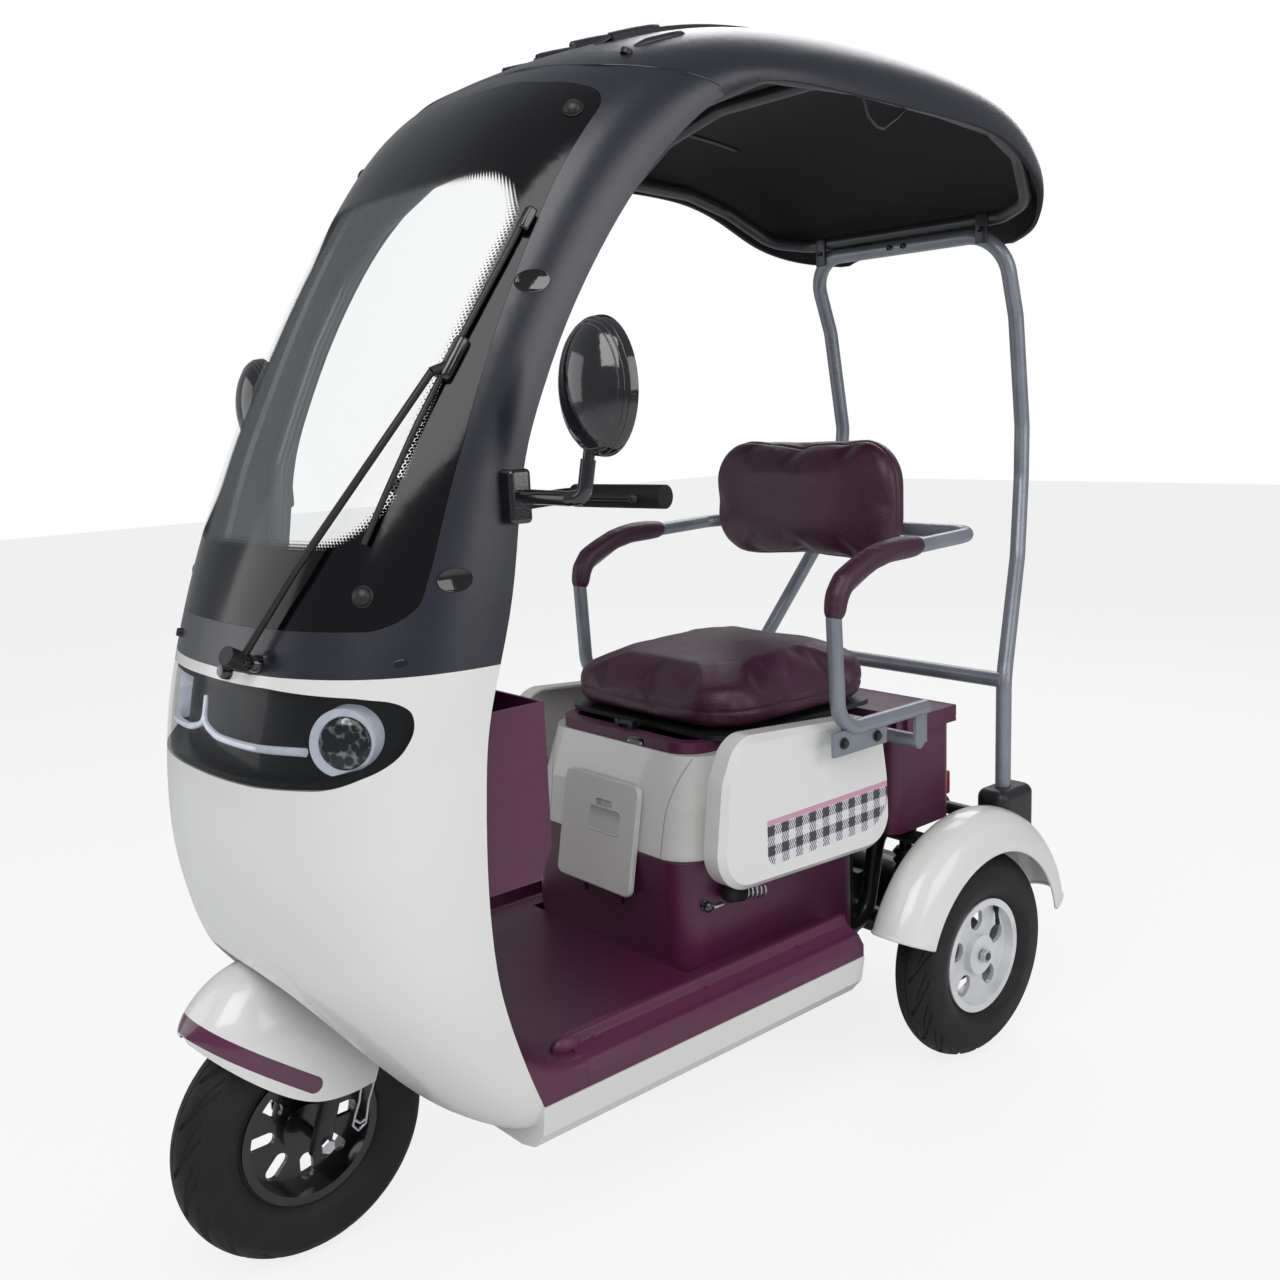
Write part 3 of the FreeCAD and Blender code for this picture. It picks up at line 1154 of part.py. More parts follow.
def seat_box_hatch():
    """Door with a finger recess, hung at its foot."""
    half = float(d.hatch_width) / 2
    tall = float(d.hatch_height)
    thick = float(d.hatch_wall)
    plate = Part.Face(round_ring(half, 0, tall, 0, 0.16 * half)).extrude(Vector(0, 0, thick))
    plate = plate.makeChamfer(0.3 * thick, [e for e in plate.Edges if e.BoundBox.ZMin > thick - 1e-3])
    grip = Part.Face(round_ring(0.22 * half, 0.62 * tall, 0.80 * tall, 0.3 * thick, 0.05 * half))
    plate = plate.cut(grip.extrude(Vector(0, 0, thick)).translated(Vector(0.12 * half, 0, 0)))
    turn = Rotation(Vector(1, 0, 0), 90 - hatch_tilt)
    start = Vector(0, float(along(d.seat_box_front)) - 14.5, float(d.hatch_foot))
    plate = plate.transformGeometry(Placement(start, turn).toMatrix())
    barrel = Part.makeCylinder(4.5, 0.8 * half, hatch_pin - Vector(0.4 * half, 0, 0), Vector(1, 0, 0))
    bore = Part.makeCylinder(2.6, 2 * half, hatch_pin - Vector(half, 0, 0), Vector(1, 0, 0))
    web = block((-0.4 * half, 0.4 * half), (hatch_pin.y - 9, hatch_pin.y), (hatch_pin.z - 1.9, hatch_pin.z + 2.1))
    keep_shape("seat_box_hatch", fuse([plate, barrel, web]).cut(bore))
    lugs = []
    for side in (1, -1):
        x = side * 0.5 * half
        lug = block((x - 5, x + 5), (hatch_pin.y - 3.5, hatch_pin.y + 4), (hatch_pin.z - 4, hatch_pin.z + 4))
        foot = block((x - 5, x + 5), (hatch_pin.y + 2, float(along(d.seat_box_front)) - 0.3), (hatch_pin.z - 26, hatch_pin.z + 4))
        lugs.append(foot)
        lugs.append(lug)
    pin = Part.makeCylinder(2.5, 1.1 * half, hatch_pin - Vector(0.55 * half, 0, 0), Vector(1, 0, 0))
    keep_shape("hatch_hinge", fuse(lugs + [pin]))


seat_pin = Vector(0, float(along(d.cushion_front)) - 13, 647 / 1718 * float(d.roof_height))


def seat(rim_z):
    """Seat plate, cushion and the hinge at the front."""
    low = rim_z + float(d.seat_gap)
    half = 0.93 * float(d.cushion_width) / 2
    front = float(along(d.cushion_front)) + 12
    back = float(along(d.cushion_front + d.cushion_length)) - 14
    wall = float(d.seat_pan_wall)
    pan = round_prism(half, front, back, low, low + wall, 0.25 * half)
    leaf = block((-12, 12), (seat_pin.y, front + 10), (low, low + 3))
    barrel = Part.makeCylinder(5.5, 24, seat_pin - Vector(12, 0, 0), Vector(1, 0, 0))
    bore = Part.makeCylinder(3.1, 80, seat_pin - Vector(40, 0, 0), Vector(1, 0, 0))
    keep_shape("seat_pan", fuse([pan, leaf, barrel]).cut(bore))
    cushion_low = low + wall + float(d.seat_gap)
    cushion = round_prism(float(d.cushion_width) / 2, front - 12, back + 14, cushion_low,
                          cushion_low + float(d.cushion_depth), 0.32 * half)
    top = [e for e in cushion.Edges if e.BoundBox.ZMin > cushion_low + float(d.cushion_depth) - 1]
    cushion = cushion.makeFillet(0.36 * float(d.cushion_depth), top)
    keep_shape("seat_cushion", cushion)
    lugs = []
    top_z = rim_z + float(d.seat_gap)
    for side in (1, -1):
        x = side * 17.3
        lugs.append(block((x - 5, x + 5), (seat_pin.y - 6, seat_pin.y + 6), (top_z, seat_pin.z + 6)))
    pin = Part.makeCylinder(3, 44.6, seat_pin - Vector(22.3, 0, 0), Vector(1, 0, 0))
    keep_shape("seat_hinge", fuse(lugs + [pin]))


def side_panels():
    """Rounded panel on each side, open on its inner face, with two bosses to the seat box."""
    inner_x = float(d.seat_box_width) / 2 + float(d.side_panel_gap)
    wall = float(d.panel_wall)
    face = round_face(profile(PANEL_SHARES), panel_bend)
    outer = face.translated(Vector(inner_x, 0, 0)).extrude(Vector(float(d.side_panel_wall), 0, 0))
    outer = outer.makeChamfer(0.25 * float(d.side_panel_wall),
                              [e for e in outer.Edges if e.BoundBox.XMin > inner_x + float(d.side_panel_wall) - 1])
    small = round_face(shrunk(profile(PANEL_SHARES), wall), panel_bend - wall)
    hollow = small.translated(Vector(inner_x - 1, 0, 0)).extrude(Vector(float(d.side_panel_wall) - wall + 1, 0, 0))
    hollow = hollow.makeChamfer(0.25 * float(d.side_panel_wall),
                                [e for e in hollow.Edges if e.BoundBox.XMin > inner_x + float(d.side_panel_wall) - wall - 1])
    shell = outer.cut(hollow)
    bosses = []
    for y, z in ((0.6206, 0.3027), (0.7979, 0.3027)):
        point = profile([(y, z)])[0]
        start = Vector(float(d.seat_box_width) / 2 + float(d.seat_gap), point.y, point.z)
        bosses.append(Part.makeCylinder(3 * wall, inner_x + float(d.side_panel_wall) - wall / 2 - start.x, start, Vector(1, 0, 0)))
    keep_shape("side_panels", both_sides(fuse([shell] + bosses)))


def shrunk(points, distance):
    """Closed outline's points moved inward."""
    count = len(points)
    centre = sum(points, Vector()) * (1.0 / count)
    moved = []
    for i, point in enumerate(points):
        way = (points[(i + 1) % count] - points[i - 1]).normalize()
        side = Vector(1, 0, 0).cross(way)
        if side.dot(centre - point) < 0:
            side = side * -1
        moved.append(point + side * float(distance))
    return moved


def armrest_frame():
    """Tube round the seat's back, its foot plates and the cross tube on the frame's posts."""
    loop = tube(arm_points, d.frame_tube, d.frame_tube * 2)
    low_left, low_right = spots([(1.0129, 0.8936, 0.3446)])[0], None
    cross = rod(low_left, Vector(-low_left.x, low_left.y, low_left.z), d.frame_tube)
    shapes = [loop, cross]
    near, far = spots([(1.0032, 0.6959, 0.3551), (1.0226, 0.8112, 0.3783)])
    plate = Part.makeBox(far.x - near.x, far.y - near.y, far.z - near.z, near)
    reach = 0.6 * float(d.frame_tube)
    drop = block((near.x, far.x), (low_left.y - reach, low_left.y + reach), (low_left.z - 0.2 * reach, far.z))
    shapes += [plate, mirrored(plate), drop, mirrored(drop)]
    for side in (1, -1):
        start = spots([(0.3871, 1.002, 0.5402)])[0]
        end = spots([(0.3871, 1.0355, 0.5402)])[0]
        shapes.append(rod(Vector(side * start.x, start.y, start.z), Vector(side * end.x, end.y, end.z), d.frame_tube * 0.8))
    keep_shape("armrest_frame", fuse(shapes))
    pad_path = spots(PAD_SHARES)
    pad = tube(pad_path, d.pad_diameter, d.frame_tube * 2).cut(arm_room)
    keep_shape("armrest_pads", both_sides(pad))


def backrest():
    half = float(d.back_width) / 2
    front = float(along(d.back_front))
    low = float(d.back_foot)
    ring = round_ring(half, low, low + float(d.back_height), 0, 0.42 * float(d.back_height))
    solid = Part.Face(ring).extrude(Vector(0, 0, float(d.back_depth)))
    solid = solid.makeFillet(0.3 * float(d.back_depth), [e for e in solid.Edges if e.BoundBox.ZLength < 1e-3])
    turn = Placement(Vector(0, front + float(d.back_depth), 0), Rotation(Vector(1, 0, 0), 90))
    keep_shape("backrest", solid.transformGeometry(turn.toMatrix()))


lid_pin = Vector(0, float(along(d.box_front + d.box_length)) + 3, float(d.box_top) + 8)


def rear_box():
    """Box behind the seat with a fixed front ledge, and its lid."""
    half = float(d.box_width) / 2
    front, back = float(along(d.box_front)), float(along(d.box_front + d.box_length))
    low = float(rail_z) + float(d.rail_tube) / 2 + float(d.seat_gap)
    high = float(d.box_top)
    wall = float(d.panel_wall)
    outer = round_prism(half, front, back, low, high, 0.1 * half)
    hollow = round_prism(half - wall, front + wall, back - wall, low + wall, high + 10, 0.1 * half - wall)
    ledge_back = float(along(0.940 * d.wheel_base))
    ledge = block((-half, half), (front, ledge_back), (high - 1, high + 42))
    ledge = ledge.makeFillet(0.1 * half, [e for e in ledge.Edges if e.BoundBox.ZLength > 40 and e.BoundBox.YMax < front + 1])
    ledge = ledge.cut(block((-half + wall, half - wall), (front + wall, ledge_back + 10), (high - 2, high + 38)))
    lugs = []
    for side in (1, -1):
        x = side * 0.5 * half
        lugs.append(block((x + 16, x + 24), (back - 2, lid_pin.y + 5), (high - 20, lid_pin.z + 5)))
        lugs.append(block((x - 24, x - 16), (back - 2, lid_pin.y + 5), (high - 20, lid_pin.z + 5)))
        lugs.append(Part.makeCylinder(3, 48, Vector(x - 24, lid_pin.y, lid_pin.z), Vector(1, 0, 0)))
    keep_shape("rear_box", fuse([outer.cut(hollow), ledge] + lugs))
    gap = float(d.seat_gap)
    lip_x = half + float(d.lid_lip)
    lid_low, lid_high = high + gap, high + float(d.lid_depth)
    lid = block((-lip_x, lip_x), (ledge_back + gap, back + 1), (lid_low, lid_high))
    hollow_lid = block((-half + wall, half - wall), (ledge_back + wall, back - wall), (lid_low - 1, lid_high - wall))
    lid = lid.cut(hollow_lid)
    room = []
    barrels = []
    for side in (1, -1):
        x = side * 0.5 * half
        for low_x, high_x in ((x + 15, x + 25), (x - 25, x - 15)):
            room.append(block((low_x, high_x), (back - 6, back + 30), (high - 25, lid_pin.z + 7)))
        barrel = Part.makeCylinder(5.5, 30, Vector(x - 15, lid_pin.y, lid_pin.z), Vector(1, 0, 0))
        barrels.append(barrel)
    bore = Part.makeCylinder(3.1, 2 * lip_x, Vector(-lip_x, lid_pin.y, lid_pin.z), Vector(1, 0, 0))
    keep_shape("rear_box_lid", fuse([lid.cut(Part.makeCompound(room))] + barrels).cut(bore))
    lamp = block((0.66 * half, 0.95 * half), (back + gap, back + 14), (low + 35, low + 80))
    keep_shape("tail_lamps", both_sides(lamp.makeFillet(5, lamp.Edges)))


def rear_fenders(cover):
    """Fender over each rear wheel, a strip turned round the axle."""
    points = [Vector(x * float(half_body), r * float(d.tyre_diameter), 0) for x, r in FENDER_SHARES]
    inner = shifted(points, -float(d.panel_wall), Vector(0, 0, 1))
    face = polygon_face(points + inner[::-1])
    foot = 0.53 * float(d.tyre_diameter)
    x = points[0].x
    flange = polygon_face([Vector(x, foot, 0), Vector(x + float(d.panel_wall), foot, 0),
                           Vector(x + float(d.panel_wall), points[0].y + 1, 0), Vector(x, points[0].y + 1, 0)])
    solids = []
    for shape in (face, flange):
        shape = shape.copy()
        shape.rotate(Vector(0, 0, 0), Vector(1, 0, 0), 12)
        solids.append(shape.revolve(Vector(0, 0, 0), Vector(1, 0, 0), 145))
    left = fuse(solids).translated(Vector(0, float(rear_y), float(axle_z)))
    low, high = spots([(0.8677, 1.0878, 0.1746), (1.0806, 1.18, 0.291)])
    left = left.cut(Part.makeBox(high.x - low.x, high.y - low.y, high.z - low.z, low))
    keep_shape("rear_fenders", both_sides(left))


def front_fork():
    """Fork legs, crown and steering stem, drawn in the steering frame."""
    half = float(d.fork_spread) / 2
    r = float(d.fork_tube) / 2
    top = float(d.fork_height)
    shapes = []
    for side in (1, -1):
        shapes.append(Part.makeCylinder(r, 0.62 * top, Vector(side * half, 0, -1.3 * r)))
        shapes.append(Part.makeCylinder(0.8 * r, top, Vector(side * half, 0, 0)))
    low = top - float(d.crown_depth)
    offset = float(d.steer_offset)
    crown = [block((-half, half), (-0.7 * r, 0.7 * r), (low, top)), block((-1.2 * r, 1.2 * r), (0, offset), (low, top)),
             Part.makeCylinder(1.4 * r, float(d.crown_depth), Vector(0, offset, low))]
    for side in (1, -1):
        crown.append(Part.makeCylinder(1.15 * r, float(d.crown_depth), Vector(side * half, 0, low)))
    stem = Part.makeCylinder(float(d.steerer_diameter) / 2, float(d.steerer_top) - top + 5,
                             Vector(0, float(d.steer_offset), top - 5))
    axle = Part.makeCylinder(float(d.axle_diameter) / 2, 2 * half + 3 * r, Vector(-half - 1.5 * r, 0, 0), Vector(1, 0, 0))
    keep_steered("front_fork", fuse(shapes + crown + [stem, axle]))


def front_fender():
    """Deep fender over the front wheel, carried under the fork crown."""
    size = d.tyre_diameter
    wide = d.fork_spread / 2 + d.fork_tube / 2 + 3 * d.panel_wall
    outer = skin_solid(skin_rows(NOSE_FENDER_SHARES, size, size, wide, 0.0, 0.0))
    inner = skin_solid(skin_rows(NOSE_FENDER_SHARES, size, size, wide, 0.0, 0.0, d.panel_wall, d.overrun))
    shell = outer.cut(inner)
    half = float(d.fork_spread) / 2
    post = Part.makeCylinder(4 * float(d.panel_wall), float(d.fork_height), Vector(0, float(d.steer_offset) * 0.5, 0.75 * float(d.fork_height)))
    under_crown = block((-200, 200), (-300, 300), (0, float(d.fork_height) - float(d.crown_depth) - float(d.seat_gap)))
    boss = post.common(under_crown).cut(inner)
    shell = fuse([shell, boss])
    for side in (1, -1):
        shell = shell.cut(Part.makeCylinder(float(d.fork_tube) / 2 + float(d.seat_gap), 2 * float(d.fork_height),
                                            Vector(side * half, 0, -float(d.fork_height) / 2)))
    keep_steered("front_fender", shell)


def handlebar():
    """Bent bar with its clamp, the grips and the brake levers."""
    points = full_run(spots(BAR_SHARES))
    bend = d.bar_tube * 1.5
    bar = tube(points, d.bar_tube, bend)
    bottom = float(d.steerer_top) - 2 * float(d.steerer_diameter)
    clamp = Part.makeCylinder(0.8 * float(d.steerer_diameter), 3.4 * float(d.steerer_diameter), Vector(0, float(d.steer_offset), bottom))
    stem = Part.makeCylinder(float(d.steerer_diameter) / 2 + float(d.seat_gap) / 3, float(d.steerer_top) + float(d.seat_gap) - bottom + 50,
                             Vector(0, float(d.steer_offset), bottom - 50))
    keep_shape("handlebar", fuse([bar, on_steering(clamp)]).cut(on_steering(stem)))
    end, inner = points[0], points[1]
    way = (inner - end).normalize()
    start = end + way * float(d.grip_length)
    grip = rod(end - way * float(d.panel_wall), start, d.grip_diameter)
    grip = grip.cut(rod(end - way * float(d.seat_gap), start + way * 10, d.bar_tube + 2 * d.seat_gap))
    keep_shape("grips", both_sides(grip))
    clamp_end = start + way * 26
    collar = rod(start + way * 4, clamp_end, d.bar_tube + 10).cut(rod(start, clamp_end + way * 10, d.bar_tube + 2 * d.seat_gap))
    ahead = Vector(0, -1, 0)
    pivot = start + way * 15 + ahead * 24
    neck = rod(start + way * 15 + ahead * 13.5, pivot, 14)
    blade = tube([pivot, pivot - way * 30 + ahead * 4, end + way * 25 + ahead * 27], 9, 20)
    ball = Part.makeSphere(6.5, end + way * 25 + ahead * 27)
    keep_shape("brake_levers", both_sides(fuse([collar, neck, blade, ball])))


def mirrors():
    """Oval heads on stalks from the pillars, with the glass let into the rear face."""
    points = spots(MIRROR_ARM_SHARES)
    arm = tube(points, 3 * float(d.skin_wall), 15)
    foot = points[0]
    inner_x = float(half_body) + float(d.seat_gap)
    base = block((inner_x, inner_x + 20), (foot.y - 20, foot.y + 12), (foot.z - 33, foot.z + 33))
    base = base.makeFillet(6, [e for e in base.Edges if e.BoundBox.XMax > inner_x + 10])
    centre = Vector(float(d.mirror_half_span), float(along(0.211 * d.wheel_base)), float(d.mirror_height))
    face_y = centre.y + 0.25 * float(d.mirror_depth)
    head = dome(Vector(centre.x, face_y, centre.z), d.mirror_width / 2, d.mirror_depth, d.mirror_tall / 2)
    slot = oval_prism(centre, d.mirror_width / 2 - 7, d.mirror_tall / 2 - 7, face_y - 4, face_y + 10)
    pane = oval_prism(centre, d.mirror_width / 2 - 7.3, d.mirror_tall / 2 - 7.3, face_y - 3.7, face_y - 0.7)
    neck = rod(points[-1], Vector(points[-1].x + 4, points[-1].y + 2, centre.z - 0.35 * float(d.mirror_tall)), 14)
    keep_shape("mirror_housings", both_sides(fuse([arm, base, head.cut(slot), neck])))
    keep_shape("mirror_glasses", both_sides(pane))


def dome(centre, half_x, depth, half_z):
    """Front half of an ellipsoid, with its flat side to the rear."""
    scale = FreeCAD.Matrix()
    scale.scale(float(half_x), float(depth), float(half_z))
    front = Part.makeSphere(1).common(block((-1, 1), (-1, 0), (-1, 1)))
    return front.transformGeometry(scale).translated(centre)


def oval_prism(centre, half_x, half_z, y_low, y_high):
    """Prism along Y with an oval outline."""
    oval = Part.Ellipse(Vector(0, 0, 0), float(half_z), float(half_x))
    face = Part.Face(Part.Wire(oval.toShape())).extrude(Vector(0, 0, y_high - y_low))
    turn = Rotation(Vector(0, 0, 1), Vector(0, 1, 0)).multiply(Rotation(Vector(0, 0, 1), 90))
    face.Placement = Placement(Vector(centre.x, y_low, centre.z), turn)
    return face


def wheel(label, rim_label, x, y, holes, hole_width, outward):
    """Tyre and rim about an axle along X; the rim's disc lies toward the outward side."""
    tyre = new_body(label)
    sketch = new_sketch(tyre, "XY_Plane")
    half = d.tyre_width / 2
    bead = 0.5 * d.rim_width - d.panel_wall
    seat_r = d.rim_diameter / 2 - 6 + d.seat_gap
    top = d.tyre_diameter / 2
    rim_edge = d.rim_diameter / 2 + 1
    draw_polygon(sketch, [(-bead, seat_r), (bead, seat_r), (bead, rim_edge), (half, seat_r + 0.30 * half * 2), (half, top - 0.8 * half),
                          (0.62 * half, top - 0.10 * half), (0, top), (-0.62 * half, top - 0.10 * half),
                          (-half, top - 0.8 * half), (-half, seat_r + 0.30 * half * 2), (-bead, rim_edge)])
    revolve(tyre, sketch)
    fillet(tyre, 0.3 * half, lambda edge: abs(abs(edge.BoundBox.Center.x) - float(half)) < 0.1
           and edge.BoundBox.XLength < 0.1 and edge.BoundBox.YLength > 1)
    place(tyre, x, y, axle_z)
    keep(tyre, label)
    half_rim = float(d.rim_width) / 2
    flange = float(d.rim_diameter) / 2
    barrel = flange - 6
    wall = float(d.skin_wall)
    lip = float(d.panel_wall) - 0.3
    points = [(-half_rim, flange), (-half_rim + lip, flange), (-half_rim + lip, barrel), (half_rim - lip, barrel),
              (half_rim - lip, flange), (half_rim, flange), (half_rim, barrel - wall), (-half_rim, barrel - wall)]
    ring = Part.Face(Part.makePolygon([Vector(a, b, 0) for a, b in points + points[:1]]))
    ring = ring.revolve(Vector(0, 0, 0), Vector(1, 0, 0), 360)
    plane = outward * 0.35 * half_rim
    disc = Part.makeCylinder(barrel - wall + 1, 1.3 * wall, Vector(plane - 0.65 * wall, 0, 0), Vector(1, 0, 0))
    hub_r = float(d.hub_diameter) / 2
    hub_low = plane - 2.6 * wall if outward > 0 else plane - 2.6 * wall
    hub = Part.makeCylinder(hub_r, 5.2 * wall, Vector(hub_low, 0, 0), Vector(1, 0, 0))
    middle = 0.5 * (hub_r + barrel - wall)
    reach = 0.36 * (barrel - wall - hub_r)
    rim = fuse([ring, disc, hub])
    cutter = []
    for i in range(holes):
        angle = 360.0 * i / holes
        hole = oval_hole(middle, reach, hole_width, wall)
        hole.rotate(Vector(0, 0, 0), Vector(1, 0, 0), angle)
        cutter.append(hole.translated(Vector(plane, 0, 0)))
    rim = rim.cut(Part.makeCompound(cutter))
    rim = rim.cut(Part.makeCylinder(float(d.axle_diameter) / 2 + 0.06, 200, Vector(-100, 0, 0), Vector(1, 0, 0)))
    obj = doc.addObject("Part::Feature", rim_label)
    obj.Shape = rim
    place(obj, x, y, axle_z)
    keep(obj, rim_label)


def oval_hole(middle, reach, width, wall):
    """Long round hole through the rim's disc, along a radius."""
    r = width / 2
    low, high = middle - reach + r, middle + reach - r
    face = Part.Face(Part.Wire([
        Part.makeLine(Vector(0, -r, low), Vector(0, -r, high)),
        Part.Arc(Vector(0, -r, high), Vector(0, 0, high + r), Vector(0, r, high)).toShape(),
        Part.makeLine(Vector(0, r, high), Vector(0, r, low)),
        Part.Arc(Vector(0, r, low), Vector(0, 0, low - r), Vector(0, -r, low)).toShape()]))
    return face.translated(Vector(-3 * wall, 0, 0)).extrude(Vector(6 * wall, 0, 0))


chassis_frame()
rear_axle()
rear_shocks()
base_low = seat_base()
battery_pack(base_low + d.panel_wall + d.seat_gap)
front_shield()
belly_pan()
floor_pan()
leg_shield()
headlamp()
windshield_frame()
wiper()
roof_canopy()
roof_tube_frame()
rear_hoop()
cover = hoop_covers()
rim_z = seat_box()
seat_box_hatch()
seat(rim_z)
side_panels()
armrest_frame()
backrest()
rear_box()
rear_fenders(cover)
front_fork()
front_fender()
handlebar()
mirrors()
wheel("front_tyre", "front_rim", 0 * d.tyre_width, axle_y, 8, 20.0, 0)
wheel("rear_tyre_left", "rear_rim_left", wheel_x, rear_y, 5, 34.0, 1)
wheel("rear_tyre_right", "rear_rim_right", -wheel_x, rear_y, 5, 34.0, -1)

doc.recompute()
for obj in doc.Objects:
    if "Invalid" in obj.State or "Error" in obj.State:
        raise RuntimeError("%s is not valid" % obj.Name)
os.makedirs("parts", exist_ok=True)
for obj in parts:
    if obj.Shape.isNull() or not obj.Shape.isValid():
        raise RuntimeError("%s has no valid shape" % obj.Label)
    obj.Shape.exportStep("parts/%s.step" % obj.Label)
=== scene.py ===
"""Looks of a roofed three wheeled car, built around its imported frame."""
import json
import math

import bmesh
import bpy
from mathutils import Matrix, Vector
from mathutils.bvhtree import BVHTree


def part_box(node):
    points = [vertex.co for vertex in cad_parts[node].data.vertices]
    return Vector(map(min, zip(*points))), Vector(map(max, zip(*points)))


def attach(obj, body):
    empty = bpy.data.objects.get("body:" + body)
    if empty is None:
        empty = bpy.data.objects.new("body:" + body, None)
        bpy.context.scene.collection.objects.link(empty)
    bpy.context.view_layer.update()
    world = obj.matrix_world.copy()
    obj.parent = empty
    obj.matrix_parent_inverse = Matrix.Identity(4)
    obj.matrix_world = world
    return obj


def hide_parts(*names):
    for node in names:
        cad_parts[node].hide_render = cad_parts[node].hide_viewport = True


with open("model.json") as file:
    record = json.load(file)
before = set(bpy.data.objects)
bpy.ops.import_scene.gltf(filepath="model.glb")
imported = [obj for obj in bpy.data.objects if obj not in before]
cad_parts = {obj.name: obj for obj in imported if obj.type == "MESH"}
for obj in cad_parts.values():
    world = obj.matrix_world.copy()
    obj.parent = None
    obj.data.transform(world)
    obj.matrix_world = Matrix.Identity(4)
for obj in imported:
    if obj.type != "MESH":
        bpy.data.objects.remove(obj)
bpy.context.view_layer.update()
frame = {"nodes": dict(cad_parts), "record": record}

bl_info = {
    "name": "Three wheeled car looks",
    "version": (1, 0, 0),
    "blender": (4, 5, 0),
    "location": "View3D > Sidebar > Three wheeled car",
    "description": "Finishes and small pieces of a roofed three wheeled car",
    "category": "Object",
}

UP = Vector((0, 0, 1))
LEFT = Vector((1, 0, 0))
BACK = Vector((0, 1, 0))


def joint_place(name):
    """Place of a joint at rest."""
    found = [joint for joint in frame["record"]["behaviour"]["joints"] if joint["name"] == name]
    return Vector(found[0]["pos_m"])


front_axle = joint_place("front_wheel_roll")
rear_axle = joint_place("rear_wheel_left_roll")


def along(metres):
    """Row y of a distance behind the front axle."""
    return front_axle.y + metres


def spot(x, back, z):
    """A place given by its distance behind the front axle."""
    return Vector((x, along(back), z))


surfaces = {}


def seat_on(node, place):
    """Nearest point of a node's surface to a place, and the way out of it there."""
    if node not in surfaces:
        mesh = frame["nodes"][node].data
        surfaces[node] = BVHTree.FromPolygons(
            [vert.co for vert in mesh.vertices], [tuple(face.vertices) for face in mesh.polygons])
    found = surfaces[node].find_nearest(Vector(place))
    return found[0], found[1]


class CarColours(bpy.types.PropertyGroup):
    """Colours of the car's finishes."""

    shell: bpy.props.FloatVectorProperty(
        name="Shell", description="Gloss moulded panels", subtype="COLOR",
        default=(0.80, 0.80, 0.775), min=0, max=1)
    plum: bpy.props.FloatVectorProperty(
        name="Plum", description="Satin moulded floor, boxes and stripe", subtype="COLOR",
        default=(0.098, 0.014, 0.056), min=0, max=1)
    roof: bpy.props.FloatVectorProperty(
        name="Roof", description="Roof and windshield frame", subtype="COLOR",
        default=(0.011, 0.012, 0.021), min=0, max=1)
    tube: bpy.props.FloatVectorProperty(
        name="Tube", description="Painted hoop and armrest tubes", subtype="COLOR",
        default=(0.26, 0.28, 0.32), min=0, max=1)
    leather: bpy.props.FloatVectorProperty(
        name="Leather", description="Cushion, backrest and arm pads", subtype="COLOR",
        default=(0.050, 0.008, 0.028), min=0, max=1)
    pink: bpy.props.FloatVectorProperty(
        name="Pink", description="Line above the checked band", subtype="COLOR",
        default=(0.62, 0.30, 0.42), min=0, max=1)
    floor: bpy.props.FloatVectorProperty(
        name="Floor", description="Studio floor", subtype="COLOR",
        default=(0.86, 0.86, 0.86), min=0, max=1)


class CarSizes(bpy.types.PropertyGroup):
    """Sizes of the pieces that are added to the frame."""

    groove_depth: bpy.props.FloatProperty(
        name="Groove depth", description="Depth of the tyre grooves", unit="LENGTH", default=0.0032)
    tread_steps: bpy.props.IntProperty(
        name="Tread steps", description="Steps round a tyre", default=540)
    screw_radius: bpy.props.FloatProperty(
        name="Screw radius", description="Heads of the panel screws", unit="LENGTH", default=0.005)
    pad_voxel: bpy.props.FloatProperty(
        name="Pad voxel", description="Remesh size of the pads", unit="LENGTH", default=0.006)
    pad_swell: bpy.props.FloatProperty(
        name="Pad swell", description="How far a pad's point may move", unit="LENGTH", default=0.022)
    check_pitch: bpy.props.FloatProperty(
        name="Check pitch", description="Repeat of the side panels' checks", unit="LENGTH", default=0.032)
    dot_pitch: bpy.props.FloatProperty(
        name="Dot pitch", description="Dots at the windshield's black edge", unit="LENGTH", default=0.0042)


class Value:
    """A number in a material that takes part in sums."""

    def __init__(self, paint, socket):
        self.paint = paint
        self.socket = socket

    def sum_of(self, operation, *others):
        return self.paint.maths(operation, self, *others)

    def __add__(self, other):
        return self.sum_of("ADD", other)

    __radd__ = __add__

    def __sub__(self, other):
        return self.sum_of("SUBTRACT", other)

    def __rsub__(self, other):
        return self.paint.maths("SUBTRACT", other, self)

    def __mul__(self, other):
        return self.sum_of("MULTIPLY", other)

    __rmul__ = __mul__

    def __truediv__(self, other):
        return self.sum_of("DIVIDE", other)

    def __rtruediv__(self, other):
        return self.paint.maths("DIVIDE", other, self)

    def __pow__(self, other):
        return self.sum_of("POWER", other)

    def __neg__(self):
        return self * -1.0

    def __abs__(self):
        return self.sum_of("ABSOLUTE")

    def __gt__(self, other):
        return self.sum_of("GREATER_THAN", other)

    def __lt__(self, other):
        return self.sum_of("LESS_THAN", other)

    def over(self, other):
        return self.sum_of("MAXIMUM", other)

    def fraction(self):
        return self.sum_of("FRACT")

    def ramp(self, low, high):
        """0 below low, 1 above high, smooth between."""
        made = self.paint.node(
            "ShaderNodeMapRange", {"interpolation_type": "SMOOTHSTEP"},
            {"Value": self, "From Min": low, "From Max": high})
        return Value(self.paint, made.outputs["Result"])


